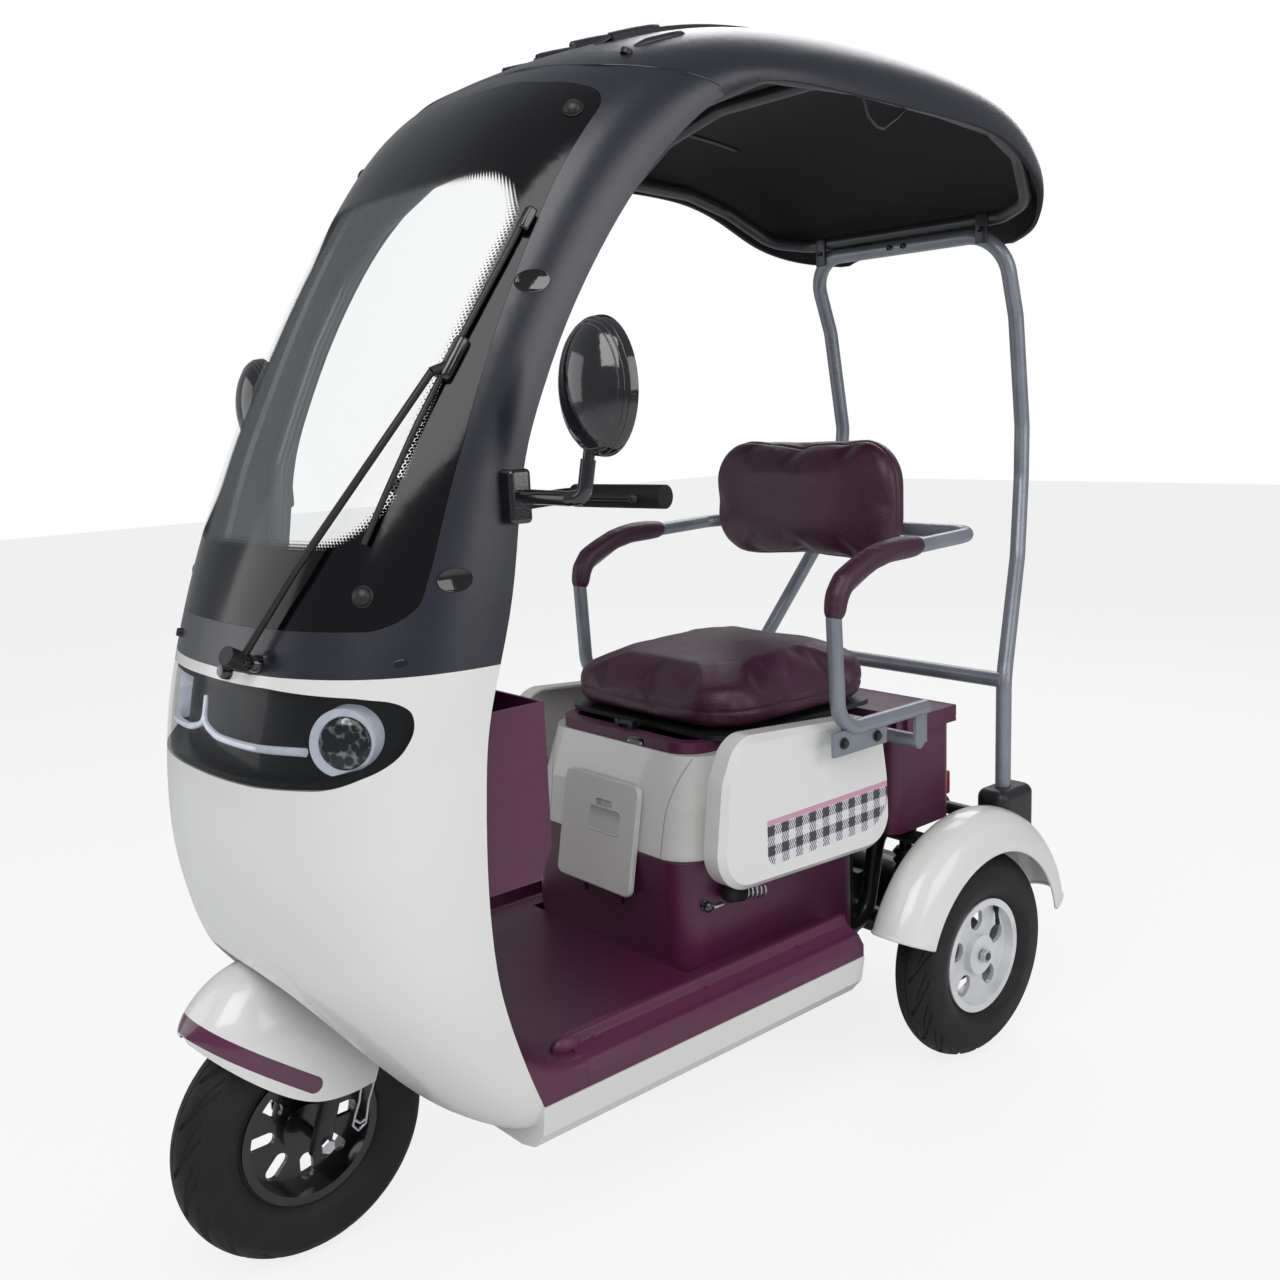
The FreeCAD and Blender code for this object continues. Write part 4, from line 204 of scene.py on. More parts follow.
class Paint:
    """A material under construction: one shader and the nodes that feed it."""

    def __init__(self, name, colour, roughness, metallic=0.0, coat=0.0, coat_roughness=0.05):
        self.name = name
        self.material = bpy.data.materials.new(name)
        self.material.use_nodes = True
        self.tree = self.material.node_tree
        self.shader = self.tree.nodes["Principled BSDF"]
        self.colour = colour
        self.feed("Base Color", colour)
        self.feed("Roughness", roughness)
        self.feed("Metallic", metallic)
        self.feed("Coat Weight", coat)
        self.feed("Coat Roughness", coat_roughness)
        self.height = None

    def set_socket(self, socket, value):
        if isinstance(value, Value):
            value = value.socket
        if isinstance(value, bpy.types.NodeSocket):
            self.tree.links.new(value, socket)
            return
        if hasattr(value, "__len__") and len(value) == 3 and len(socket.default_value) == 4:
            value = (*value, 1.0)
        socket.default_value = value

    def feed(self, name, value):
        """Sets or links a socket of the shader."""
        self.set_socket(self.shader.inputs[name], value)

    def node(self, kind, settings, values):
        """Adds a node: its settings first, then the values or links of its sockets."""
        made = self.tree.nodes.new(kind)
        for key, value in settings.items():
            if key == "stops":
                for i, (place, shade) in enumerate(value):
                    if i >= len(made.color_ramp.elements):
                        made.color_ramp.elements.new(place)
                    made.color_ramp.elements[i].position = place
                    made.color_ramp.elements[i].color = (*shade, 1.0)
            else:
                setattr(made, key, value)
        for key, value in values.items():
            self.set_socket(made.inputs[key], value)
        return made

    def maths(self, operation, *terms):
        made = self.node("ShaderNodeMath", {"operation": operation}, dict(enumerate(terms)))
        return Value(self, made.outputs[0])

    def place(self):
        """Object coordinates as three values."""
        coords = self.node("ShaderNodeTexCoord", {}, {})
        split = self.node("ShaderNodeSeparateXYZ", {}, {"Vector": coords.outputs["Object"]})
        return [Value(self, split.outputs[axis]) for axis in "XYZ"]

    def moved(self, scale=(1, 1, 1), turn=(0, 0, 0), shift=(0, 0, 0)):
        """Object coordinates after a Mapping node."""
        coords = self.node("ShaderNodeTexCoord", {}, {})
        made = self.node("ShaderNodeMapping", {}, {
            "Vector": coords.outputs["Object"], "Scale": scale, "Rotation": turn, "Location": shift})
        return made.outputs["Vector"]

    def noise(self, scale, detail=2.0, stretch=(1, 1, 1)):
        made = self.node("ShaderNodeTexNoise", {}, {
            "Vector": self.moved(stretch), "Scale": scale, "Detail": detail})
        return Value(self, made.outputs["Fac"])

    def cells(self, scale, stretch=(1, 1, 1), feature="F1"):
        made = self.node("ShaderNodeTexVoronoi", {"feature": feature}, {
            "Vector": self.moved(stretch), "Scale": scale})
        return Value(self, made.outputs["Distance"])

    def blend(self, amount, first, second):
        """Colour between two colours."""
        made = self.node("ShaderNodeMix", {"data_type": "RGBA"}, {0: amount, 6: first, 7: second})
        return made.outputs[2]

    def vary(self, amount, scale=6.0, shade=0.8):
        """Colour variation: patches of the colour a little darker."""
        darker = tuple(part * shade for part in self.colour)
        patches = self.noise(scale, 4.0).ramp(0.35, 0.75) * amount
        return self.blend(patches, self.colour, darker)

    def wander(self, roughness, spread, scale, detail=2.0):
        """Roughness that varies evenly round its middle value."""
        self.feed("Roughness", self.noise(scale, detail) * spread + (roughness - spread / 2))

    def bump(self, height, metres):
        """Adds relief of a height field from 0 to 1."""
        values = {"Height": height, "Distance": metres, "Strength": 1.0}
        if self.height is not None:
            values["Normal"] = self.height
        made = self.node("ShaderNodeBump", {}, values)
        self.height = made.outputs["Normal"]
        self.feed("Normal", self.height)


finishes = {}

# Share, scale and shade of the darker patches in a finish.
PANEL_PATCHES = (0.35, 3.0, 0.93)
SATIN_PATCHES = (0.5, 5.0, 0.78)
STEEL_PATCHES = (0.6, 14.0, 0.72)


def gloss_panel(name, colour, roughness=0.30, coat=0.7):
    """Gloss moulded panel with faint orange peel."""
    peel_scale, peel_depth = 260.0, 0.00012
    paint = Paint(name, colour, roughness, coat=coat)
    paint.feed("Base Color", paint.vary(*PANEL_PATCHES))
    paint.wander(roughness, 0.08, 40.0)
    paint.bump(paint.noise(peel_scale), peel_depth)
    return paint


def satin_plastic(name, colour, roughness=0.42, coat=0.12, grain_depth=0.00018):
    """Satin moulded plastic with a fine leather-like grain."""
    grain_scale, coat_roughness = 900.0, 0.25
    paint = Paint(name, colour, roughness, coat=coat, coat_roughness=coat_roughness)
    paint.feed("Base Color", paint.vary(*SATIN_PATCHES))
    paint.wander(roughness, 0.16, 18.0, 5.0)
    paint.bump(paint.cells(grain_scale), grain_depth)
    return paint


def painted_steel(name, colour, roughness=0.35, metallic=0.35, coat=0.3):
    """Painted steel with specks of dust in the paint."""
    speck_scale, speck_detail, speck_depth = 420.0, 3.0, 0.00015
    paint = Paint(name, colour, roughness, metallic=metallic, coat=coat)
    paint.feed("Base Color", paint.vary(*STEEL_PATCHES))
    paint.wander(roughness, 0.18, 60.0, 4.0)
    paint.bump(paint.noise(speck_scale, speck_detail), speck_depth)
    return paint


def rubber(name, colour=(0.014, 0.014, 0.015), roughness=0.62):
    """Rubber with dusty patches."""
    dusty, dust_share, grain_scale, grain_depth = (0.020, 0.020, 0.020), 0.6, 500.0, 0.0002
    paint = Paint(name, colour, roughness)
    dust = paint.noise(16.0, 6.0).ramp(0.45, 0.8) * dust_share
    paint.feed("Base Color", paint.blend(dust, colour, dusty))
    paint.feed("Specular IOR Level", 0.3)
    paint.wander(roughness, 0.2, 30.0, 4.0)
    paint.bump(paint.noise(grain_scale, 3.0), grain_depth)
    return paint


def grained_leather(name, colour):
    """Grained leather: pebbles, fine creases and rubbed spots."""
    roughness, pebble_scale, crease_scale = 0.45, 420.0, 95.0
    pebble_depth, crease_depth, crease_width = 0.00022, 0.00016, 0.10
    paint = Paint(name, colour, roughness, coat=0.10, coat_roughness=0.3)
    lighter = tuple(part * 1.5 for part in colour)
    rubbed = paint.noise(9.0, 5.0).ramp(0.45, 0.8) * 0.5
    paint.feed("Base Color", paint.blend(rubbed, colour, lighter))
    paint.wander(roughness, 0.18, 22.0, 4.0)
    paint.bump(paint.cells(pebble_scale), pebble_depth)
    paint.bump(paint.cells(crease_scale, feature="DISTANCE_TO_EDGE").ramp(0.0, crease_width), crease_depth)
    return paint


def windshield_glass(sizes):
    """Clear sheet with a black printed border that breaks into dots inwards."""
    paint = Paint("windshield_glass", (0.002, 0.002, 0.003), 0.12)
    paint.feed("Specular IOR Level", 0.4)
    x, _, z = paint.place()
    half_width, half_height, corner, middle = 0.262, 0.232, 0.085, 1.236
    lean, fade, dot_share, row_share = 0.045, 0.018, 0.62, 0.87
    side = (abs(x) - (z - middle) * lean - (half_width - corner)).over(0.0)
    rise = (abs(z - middle) - (half_height - corner)).over(0.0)
    edge = (side * side + rise * rise) ** 0.5 - corner
    pitch = sizes.dot_pitch
    row_pitch = pitch * row_share
    shift = ((z / row_pitch).sum_of("FLOOR") * 0.5).fraction()
    across = ((x / pitch + shift).fraction() - 0.5) * pitch
    up = ((z / row_pitch).fraction() - 0.5) * row_pitch
    reach = (edge + fade) / fade * (pitch * dot_share)
    dot = (across * across + up * up) ** 0.5 < reach
    printed = dot.over(edge > 0.0)
    clear = paint.node("ShaderNodeBsdfPrincipled", {}, {
        "Base Color": (0.62, 0.66, 0.68), "Roughness": 0.03, "Alpha": 0.10, "Coat Weight": 0.0})
    joined = paint.node("ShaderNodeMixShader", {}, {
        0: printed, 1: clear.outputs[0], 2: paint.shader.outputs[0]})
    output = paint.tree.nodes["Material Output"]
    paint.tree.links.new(joined.outputs[0], output.inputs["Surface"])
    return paint


def visor_glass():
    """Smoked clear sheet over the lamps."""
    least_alpha, alpha_spread = 0.20, 0.08
    paint = Paint("visor_glass", (0.02, 0.022, 0.025), 0.05)
    paint.feed("Alpha", paint.noise(5.0) * alpha_spread + least_alpha)
    paint.wander(0.055, 0.05, 60.0, 3.0)
    return paint


def lamp_ring():
    """Ring lamp with a soft inner glow and fine ribs."""
    paint = Paint("lamp_ring", (0.80, 0.84, 0.92), 0.25, coat=0.6)
    paint.feed("Base Color", paint.vary(0.7, 70.0, 0.8))
    paint.feed("Emission Color", (0.75, 0.82, 1.0))
    paint.feed("Emission Strength", 0.35)
    paint.bump(paint.noise(300.0), 0.0001)
    return paint


def lamp_lens():
    """Dark faceted lens of the lamps, with glints."""
    facet_scale, facet_depth = 110.0, 0.0007
    paint = Paint("lamp_lens", (0.10, 0.12, 0.13), 0.08, metallic=0.5, coat=1.0)
    glints = paint.cells(facet_scale).ramp(0.55, 0.95)
    paint.feed("Base Color", paint.blend(glints, (0.012, 0.015, 0.018), (0.40, 0.46, 0.48)))
    paint.bump(paint.cells(facet_scale), facet_depth)
    return paint


def fender_stripe(colours):
    """Gloss fender with a plum stripe near its lower edge, with a rounded rear end."""
    paint = gloss_panel("front_fender_gloss", colours.shell)
    _, y, z = paint.place()
    back = y - front_axle.y
    slope, level, half, end = 0.774, 0.2738, 0.0116, -0.017
    run = 1 / math.hypot(1, slope)
    across = (z - level + back * slope) * run
    down = (back - (z - level) * slope) * run
    past = (down - end).over(0.0)
    inside = (past * past + across * across) ** 0.5 < half
    paint.feed("Base Color", paint.blend(inside, paint.vary(*PANEL_PATCHES), colours.plum))
    return paint


def panel_check(colours, sizes):
    """Gloss panel with a checked band under a pink line."""
    paint = gloss_panel("side_panel_gloss", colours.shell)
    x, y, z = paint.place()
    back = y - front_axle.y
    pitch = sizes.check_pitch
    start, stop, low, high, line_width = 0.665, 0.961, 0.456, 0.530, 0.009
    front_corner, rear_corner, outer_face = 0.020, 0.060, 0.272
    hatch_run, hatch_rise, hatch_lines = 0.87, 0.5, 7.5
    pale_thread, dark_thread = (0.76, 0.74, 0.78), (0.016, 0.007, 0.018)
    ahead = (start + front_corner - back).over(0.0)
    behind = (back - (stop - rear_corner)).over(0.0)
    under_front = (low + front_corner - z).over(0.0)
    under_rear = (low + rear_corner - z).over(0.0)
    front_gap = (ahead * ahead + under_front * under_front) ** 0.5 - front_corner
    rear_gap = (behind * behind + under_rear * under_rear) ** 0.5 - rear_corner
    printed_area = (front_gap < 0.0) * (rear_gap < 0.0) * (abs(x) > outer_face)
    band = printed_area * (z < (high - line_width))
    line = printed_area * (z > (high - line_width)) * (z < high)
    column = ((back - start) / pitch).fraction() < 0.5
    row = ((z - low) / pitch).fraction() > 0.5
    hatch = ((back * hatch_run - z * hatch_rise) / (pitch / hatch_lines)).fraction() < 0.5
    both = column * row
    either = column.over(row) * hatch * (1 - both)
    cloth = paint.blend(both.over(either), pale_thread, dark_thread)
    printed = paint.blend(band, paint.vary(*PANEL_PATCHES), cloth)
    paint.feed("Base Color", paint.blend(line, printed, colours.pink))
    return paint


def parting_lines(colours):
    """Gloss seat box with an arc parting line on each side of its front."""
    paint = gloss_panel("seat_box_gloss", colours.shell)
    x, _, z = paint.place()
    half_gap, bend_start, bend, top, depth = 0.1446, 0.50, 2.0, 0.6185, 0.0010
    floor_half, rim_half, groove_grey, groove_grey_share = 0.0004, 0.0014, (0.25, 0.25, 0.25), 0.55
    bow = (z - bend_start).over(0.0)
    gap = abs(abs(x) - bow * bow * bend - half_gap) + (z > top)
    groove = 1 - gap.ramp(floor_half, rim_half)
    paint.bump(1 - groove, depth)
    # The groove is also painted a darker grey.
    paint.feed("Base Color", paint.blend(groove * groove_grey_share, paint.vary(*PANEL_PATCHES), groove_grey))
    return paint


def roof_shell(colours):
    """Satin roof whose downward faces are painted nearly black as shade, and dull."""
    roughness, coat, dullness, inside = 0.32, 0.45, 0.30, (0.003, 0.003, 0.005)
    paint = satin_plastic("roof_shell", colours.roof, roughness, coat, 0.00012)
    coords = paint.node("ShaderNodeTexCoord", {}, {})
    split = paint.node("ShaderNodeSeparateXYZ", {}, {"Vector": coords.outputs["Normal"]})
    outside = Value(paint, split.outputs["Z"]).ramp(-0.10, 0.05)
    # Faces that look down get painted shade: their colour goes nearly black.
    paint.feed("Base Color", paint.blend(outside, inside, paint.vary(*SATIN_PATCHES)))
    paint.feed("Roughness", roughness + dullness - outside * dullness)
    paint.feed("Coat Weight", outside * coat)
    return paint


def grip_recess(colours):
    """Floor of the hatch's grip: painted shade under its upper edge, painted light towards its lower one."""
    bottom, top, shaded, lit = 0.497, 0.536, (0.16, 0.16, 0.155), (0.62, 0.62, 0.60)
    paint = gloss_panel("grip_recess", colours.shell, 0.4, 0.2)
    _, _, z = paint.place()
    paint.feed("Base Color", paint.blend(z.ramp(bottom, top), lit, shaded))
    return paint


def mix_finishes():
    """Makes every finish once."""
    colours = bpy.context.scene.car_colours
    sizes = bpy.context.scene.car_sizes
    made = [
        gloss_panel("shell_gloss", colours.shell),
        gloss_panel("hatch_gloss", tuple(part * 0.86 for part in colours.shell), 0.4, 0.4),
        satin_plastic("plum_satin", colours.plum),
        satin_plastic("roof_satin", colours.roof, 0.32, 0.45, 0.00012),
        roof_shell(colours),
        gloss_panel("lamp_black", (0.003, 0.003, 0.004), 0.35, 0.0),
        grip_recess(colours),
        satin_plastic("black_satin", (0.010, 0.010, 0.011), 0.45, 0.15),
        gloss_panel("black_gloss", (0.006, 0.006, 0.008), 0.12, 1.0),
        # Nearly black finish: the roof's dark seam line, and painted shade in the pillar recesses and cowl
        # holes.
        gloss_panel("seam_black_and_recess_shade", (0.002, 0.002, 0.003), 0.08, 0.8),
        painted_steel("tube_paint", colours.tube),
        painted_steel("dark_tube_paint", (0.045, 0.047, 0.052), 0.4, 0.3),
        painted_steel("frame_paint", (0.012, 0.012, 0.013), 0.4, 0.2),
        painted_steel("silver_steel", (0.55, 0.56, 0.58), 0.28, 0.9, 0.1),
        painted_steel("rim_white_paint", (0.78, 0.79, 0.80), 0.35, 0.1, 0.5),
        painted_steel("rim_black_paint", (0.008, 0.008, 0.010), 0.25, 0.2, 0.6),
        rubber("grip_rubber"),
        rubber("tyre_rubber", (0.011, 0.011, 0.012), 0.55),
        grained_leather("plum_leather", colours.leather),
        windshield_glass(sizes),
        visor_glass(),
        lamp_ring(),
        lamp_lens(),
        gloss_panel("lamp_red_lens", (0.35, 0.008, 0.008), 0.1, 1.0),
        fender_stripe(colours),
        panel_check(colours, sizes),
        parting_lines(colours),
    ]
    mirror = Paint("mirror_silver", (0.86, 0.87, 0.88), 0.03, metallic=1.0)
    mirror.feed("Roughness", mirror.noise(30.0, 3.0) * 0.03 + 0.01)
    made.append(mirror)
    for paint in made:
        finishes[paint.name] = paint.material


NODE_FINISHES = {
    "shell_gloss": ["front_shield", "belly_pan", "rear_fenders"],
    "seat_box_gloss": ["seat_box"],
    "hatch_gloss": ["seat_box_hatch"],
    "side_panel_gloss": ["side_panels"],
    "front_fender_gloss": ["front_fender"],
    "plum_satin": ["floor_pan", "leg_shield", "seat_base", "storage_tub", "rear_box", "rear_box_lid",
                   "hatch_hinge"],
    "roof_satin": ["windshield_frame"],
    "roof_shell": ["roof_canopy"],
    "lamp_black": ["headlamp_backing"],
    "black_satin": ["wiper", "hoop_covers", "brake_levers", "seat_pan", "battery_pack"],
    "black_gloss": ["mirror_housings"],
    "tube_paint": ["rear_hoop", "armrest_frame"],
    "dark_tube_paint": ["roof_tube_frame"],
    "frame_paint": ["chassis_frame", "rear_axle", "drive_motor", "front_fork", "handlebar",
                    "seat_hinge", "rear_shocks"],
    "rim_white_paint": ["rear_rim_left", "rear_rim_right"],
    "rim_black_paint": ["front_rim"],
    "grip_rubber": ["grips"],
    "windshield_glass": ["windshield"],
    "visor_glass": ["headlamp_visor"],
    "lamp_ring": ["headlamp_rings", "headlamp_strip"],
    "lamp_lens": ["headlamp_lenses"],
    "lamp_red_lens": ["tail_lamps"],
    "mirror_silver": ["mirror_glasses"],
    "plum_leather": ["seat_cushion", "backrest", "armrest_pads"],
    "tyre_rubber": ["front_tyre", "rear_tyre_left", "rear_tyre_right"],
}


def paint_nodes():
    """Gives every node of the frame its finish."""
    for finish, names in NODE_FINISHES.items():
        for name in names:
            mesh = frame["nodes"][name].data
            mesh.materials.clear()
            mesh.materials.append(finishes[finish])


def finish_piece(mesh_name, shape, finish, body, smooth_angle=35.0, turn_out=True):
    """Makes an object of a bmesh in place, with its finish and body."""
    bmesh.ops.remove_doubles(shape, verts=shape.verts, dist=1e-6)
    if turn_out:
        bmesh.ops.recalc_face_normals(shape, faces=shape.faces)
    mesh = bpy.data.meshes.new(mesh_name)
    shape.to_mesh(mesh)
    shape.free()
    mesh.materials.append(finishes[finish])
    piece = bpy.data.objects.new(mesh_name, mesh)
    bpy.context.collection.objects.link(piece)
    mesh.shade_smooth()
    mesh.set_sharp_from_angle(angle=math.radians(smooth_angle))
    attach(piece, body)
    return piece


def facing(direction, place):
    """Matrix that turns +Z to a direction and moves to a place."""
    turn = Vector(direction).normalized().to_track_quat("Z", "Y").to_matrix().to_4x4()
    return Matrix.Translation(place) @ turn


def add_cone(shape, place, direction, low_radius, high_radius, depth, segments=24):
    """Cone or cylinder from a place along a direction."""
    made = bmesh.ops.create_cone(
        shape, cap_ends=True, segments=segments, radius1=low_radius, radius2=high_radius, depth=depth,
        matrix=facing(direction, Vector(place)) @ Matrix.Translation((0, 0, depth / 2)))
    return made["verts"]


def add_screw(shape, place, direction, radius, height=None, recess=0.5):
    """Round screw head with a sunk middle, set a little into the surface."""
    height_share, taper, sunk, steps = 0.55, 0.86, 0.5, 18
    height = height or radius * height_share
    out = Vector(direction).normalized()
    verts = add_cone(shape, Vector(place) - out * height * sunk, out, radius, radius * taper,
                     height * (1 + sunk), steps)
    faces = {face for vert in verts for face in vert.link_faces}
    top = max(faces, key=lambda face: face.calc_center_median().dot(out))
    bmesh.ops.inset_region(shape, faces=[top], thickness=radius * recess)
    bmesh.ops.translate(shape, vec=out * -height * sunk, verts=top.verts)


def add_block(shape, low, high, bevel=0.0, segments=3, matrix=None):
    """Box between two corners with rounded edges."""
    low, high = Vector(low), Vector(high)
    place = Matrix.Translation((low + high) / 2) @ Matrix.Diagonal((*(high - low), 1.0))
    verts = bmesh.ops.create_cube(shape, size=1.0, matrix=place)["verts"]
    if bevel:
        edges = list({edge for vert in verts for edge in vert.link_edges})
        made = bmesh.ops.bevel(shape, geom=edges, offset=bevel, segments=segments, profile=0.5,
                               affect="EDGES", material=-1)
        rounded = {vert for face in made["faces"] for vert in face.verts}
        verts = list(rounded | {vert for vert in verts if vert.is_valid})
    if matrix is not None:
        bmesh.ops.transform(shape, matrix=matrix, verts=verts)


def add_pipe(shape, points, radius, segments=12, close=True):
    """Tube that follows a list of points, with one radius or a radius for each point."""
    points = [Vector(point) for point in points]
    radii = radius if hasattr(radius, "__len__") else [radius] * len(points)
    ring = None
    for i, point in enumerate(points):
        before = points[max(i - 1, 0)]
        after = points[min(i + 1, len(points) - 1)]
        made = bmesh.ops.create_circle(shape, cap_ends=False, segments=segments, radius=radii[i],
                                       matrix=facing(after - before, point))
        edges = list({edge for vert in made["verts"] for edge in vert.link_edges})
        if ring:
            bmesh.ops.bridge_loops(shape, edges=ring + edges)
        elif close:
            bmesh.ops.contextual_create(shape, geom=edges)
        ring = edges
    if close:
        bmesh.ops.contextual_create(shape, geom=ring)


def add_lathe(shape, profile, centre, axis, steps=48):
    """Full turn of a profile given as (along axis, radius) pairs."""
    frame_turn = facing(axis, Vector(centre))
    verts = [shape.verts.new(frame_turn @ Vector((radius, 0, depth))) for depth, radius in profile]
    edges = [shape.edges.new(pair) for pair in zip(verts, verts[1:])]
    bmesh.ops.spin(shape, geom=verts + edges, cent=Vector(centre), axis=Vector(axis), angle=math.tau,
                   steps=steps, use_merge=True)
    bmesh.ops.remove_doubles(shape, verts=shape.verts, dist=1e-6)


def add_turned(shape, profile, place, out, steps=28, level=UP, stretch=(1.0, 1.0)):
    """Turned form of (height, radius) pairs on a place, stretched along the level line and across it."""
    before = set(shape.verts)
    add_lathe(shape, profile, Vector(), UP, steps)
    out = Vector(out).normalized()
    first = (Vector(level) - out * Vector(level).dot(out)).normalized()
    turn = Matrix((first, out.cross(first), out)).transposed().to_4x4()
    matrix = Matrix.Translation(place) @ turn @ Matrix.Diagonal((*stretch, 1.0, 1.0))
    bmesh.ops.transform(shape, matrix=matrix, verts=[vert for vert in shape.verts if vert not in before])


def dome(radius, height, steps=6):
    """Profile of a domed head that starts a little under the surface."""
    sunk, quarter = 0.3, math.pi / 2 / steps
    round_part = [(height * math.sin(quarter * i), radius * math.cos(quarter * i)) for i in range(steps)]
    return [(-height * sunk, radius)] + round_part + [(height, 0.0)]


def add_studs(shape, profile, node, places, steps=28, level=UP, stretch=(1.0, 1.0), lift=0.0):
    """The same turned form at every place, seated on a node's surface."""
    for place in places:
        seat, out = seat_on(node, place)
        add_turned(shape, profile, seat + out * lift, out, steps, level, stretch)


def smooth_line(points, steps=4):
    """Points of a smooth curve through a list of points."""
    points = [Vector(point) for point in points]
    line = []
    for i in range(len(points) - 1):
        before, start = points[max(i - 1, 0)], points[i]
        end, after = points[i + 1], points[min(i + 2, len(points) - 1)]
        slope = end - before
        bend = before * 2 - start * 5 + end * 4 - after
        twist = start * 3 - before - end * 3 + after
        for step in range(steps):
            t = step / steps
            line.append(0.5 * (start * 2 + slope * t + bend * t ** 2 + twist * t ** 3))
    return line + [points[-1]]


def both_sides(*places):
    """Each place and its mirror image."""
    return [Vector((side * place.x, place.y, place.z)) for place in places for side in (1, -1)]


class STUDIO_OT_stage(bpy.types.Operator):
    """Pale floor, soft studio light and the camera"""

    bl_idname = "car.stage"
    bl_label = "Stage"

    def execute(self, context):
        scene = context.scene
        floor_half, glow_share = 14.0, 0.82
        scene.view_settings.view_transform = "Standard"
        paint = Paint("studio_floor", scene.car_colours.floor, 0.9)
        paint.feed("Roughness", paint.noise(2.0) * 0.05 + 0.85)
        finishes["studio_floor"] = paint.material
        path = paint.node("ShaderNodeLightPath", {}, {})
        glow = paint.node("ShaderNodeEmission", {}, {"Color": (1.0, 1.0, 1.0), "Strength": 1.0})
        seen = Value(paint, path.outputs["Is Camera Ray"]) * glow_share
        joined = paint.node("ShaderNodeMixShader", {}, {
            0: seen, 1: paint.shader.outputs[0], 2: glow.outputs[0]})
        paint.tree.links.new(joined.outputs[0], paint.tree.nodes["Material Output"].inputs["Surface"])
        shape = bmesh.new()
        bmesh.ops.create_grid(shape, x_segments=1, y_segments=1, size=floor_half)
        mesh = bpy.data.meshes.new("studio_floor")
        shape.to_mesh(mesh)
        shape.free()
        mesh.materials.append(paint.material)
        floor = bpy.data.objects.new("studio_floor", mesh)
        context.collection.objects.link(floor)
        self.light_world(scene)
        self.hang_lamps(context)
        self.set_camera(context)
        return {"FINISHED"}

    def light_world(self, scene):
        """Grey room for the object, white where the camera and glass look past it."""
        world = bpy.data.worlds.new("studio")
        scene.world = world
        world.use_nodes = True
        tree = world.node_tree
        room = tree.nodes["Background"]
        room.inputs["Color"].default_value = (0.92, 0.95, 1.0, 1.0)
        room.inputs["Strength"].default_value = 0.31
        white = tree.nodes.new("ShaderNodeBackground")
        white.inputs["Color"].default_value = (1.0, 1.0, 1.0, 1.0)
        white.inputs["Strength"].default_value = 1.0
        path = tree.nodes.new("ShaderNodeLightPath")
        seen = tree.nodes.new("ShaderNodeMath")
        seen.operation = "MAXIMUM"
        tree.links.new(path.outputs["Is Camera Ray"], seen.inputs[0])
        tree.links.new(path.outputs["Is Transmission Ray"], seen.inputs[1])
        mix = tree.nodes.new("ShaderNodeMixShader")
        tree.links.new(seen.outputs[0], mix.inputs[0])
        tree.links.new(room.outputs[0], mix.inputs[1])
        tree.links.new(white.outputs[0], mix.inputs[2])
        tree.links.new(mix.outputs[0], tree.nodes["World Output"].inputs["Surface"])

    def hang_lamps(self, context):
        """Soft overhead key, a side fill and a rim light from behind."""
        lamps = [
            ("key", (1.6, -2.2, 3.4), 2.6, 74.0),
            ("side", (3.4, 0.8, 1.9), 2.2, 32.0),
            ("rim", (-1.4, 2.8, 3.2), 2.4, 46.0),
            ("front", (-2.4, -2.8, 1.6), 2.2, 16.0),
        ]
        for name, place, size, power in lamps:
            data = bpy.data.lights.new(name, "AREA")
            data.size = size
            data.energy = power
            lamp = bpy.data.objects.new(name, data)
            context.collection.objects.link(lamp)
            lamp.location = place
            aim = Vector((0, 0, 0.8)) - lamp.location
            lamp.rotation_euler = aim.to_track_quat("-Z", "Y").to_euler()

    def set_camera(self, context):
        """Camera at the photograph's place, worked out for a frame 1280 wide."""
        focal_pixels, frame_pixels, sensor = 1278.52, 1280.0, 36.0
        azimuth, pitch, roll = math.radians(49.319), math.radians(10.227), math.radians(-2.3585)
        data = bpy.data.cameras.new("photo_camera")
        data.sensor_width = sensor
        data.lens = sensor * focal_pixels / frame_pixels
        camera = bpy.data.objects.new("photo_camera", data)
        context.collection.objects.link(camera)
        level_look = Vector((-math.sin(azimuth), math.cos(azimuth), 0))
        look = level_look * math.cos(pitch) - UP * math.sin(pitch)
        right = Vector((math.cos(azimuth), math.sin(azimuth), 0))
        top = right.cross(look)
        leaned_right = right * math.cos(roll) + top * math.sin(roll)
        leaned_top = top * math.cos(roll) - right * math.sin(roll)
        turn = Matrix((leaned_right, leaned_top, -look)).transposed().to_4x4()
        camera.matrix_world = Matrix.Translation(spot(1.58927, -0.69904, 1.15975)) @ turn
        context.scene.camera = camera


class CAR_OT_finishes(bpy.types.Operator):
    """Mixes the finishes and paints the frame's nodes"""

    bl_idname = "car.finishes"
    bl_label = "Finishes"

    def execute(self, context):
        mix_finishes()
        paint_nodes()
        return {"FINISHED"}


TYRES = {
    "front_tyre": ("front_tyre_tread", "front_wheel"),
    "rear_tyre_left": ("rear_tyre_left_tread", "rear_wheel_left"),
    "rear_tyre_right": ("rear_tyre_right_tread", "rear_wheel_right"),
}


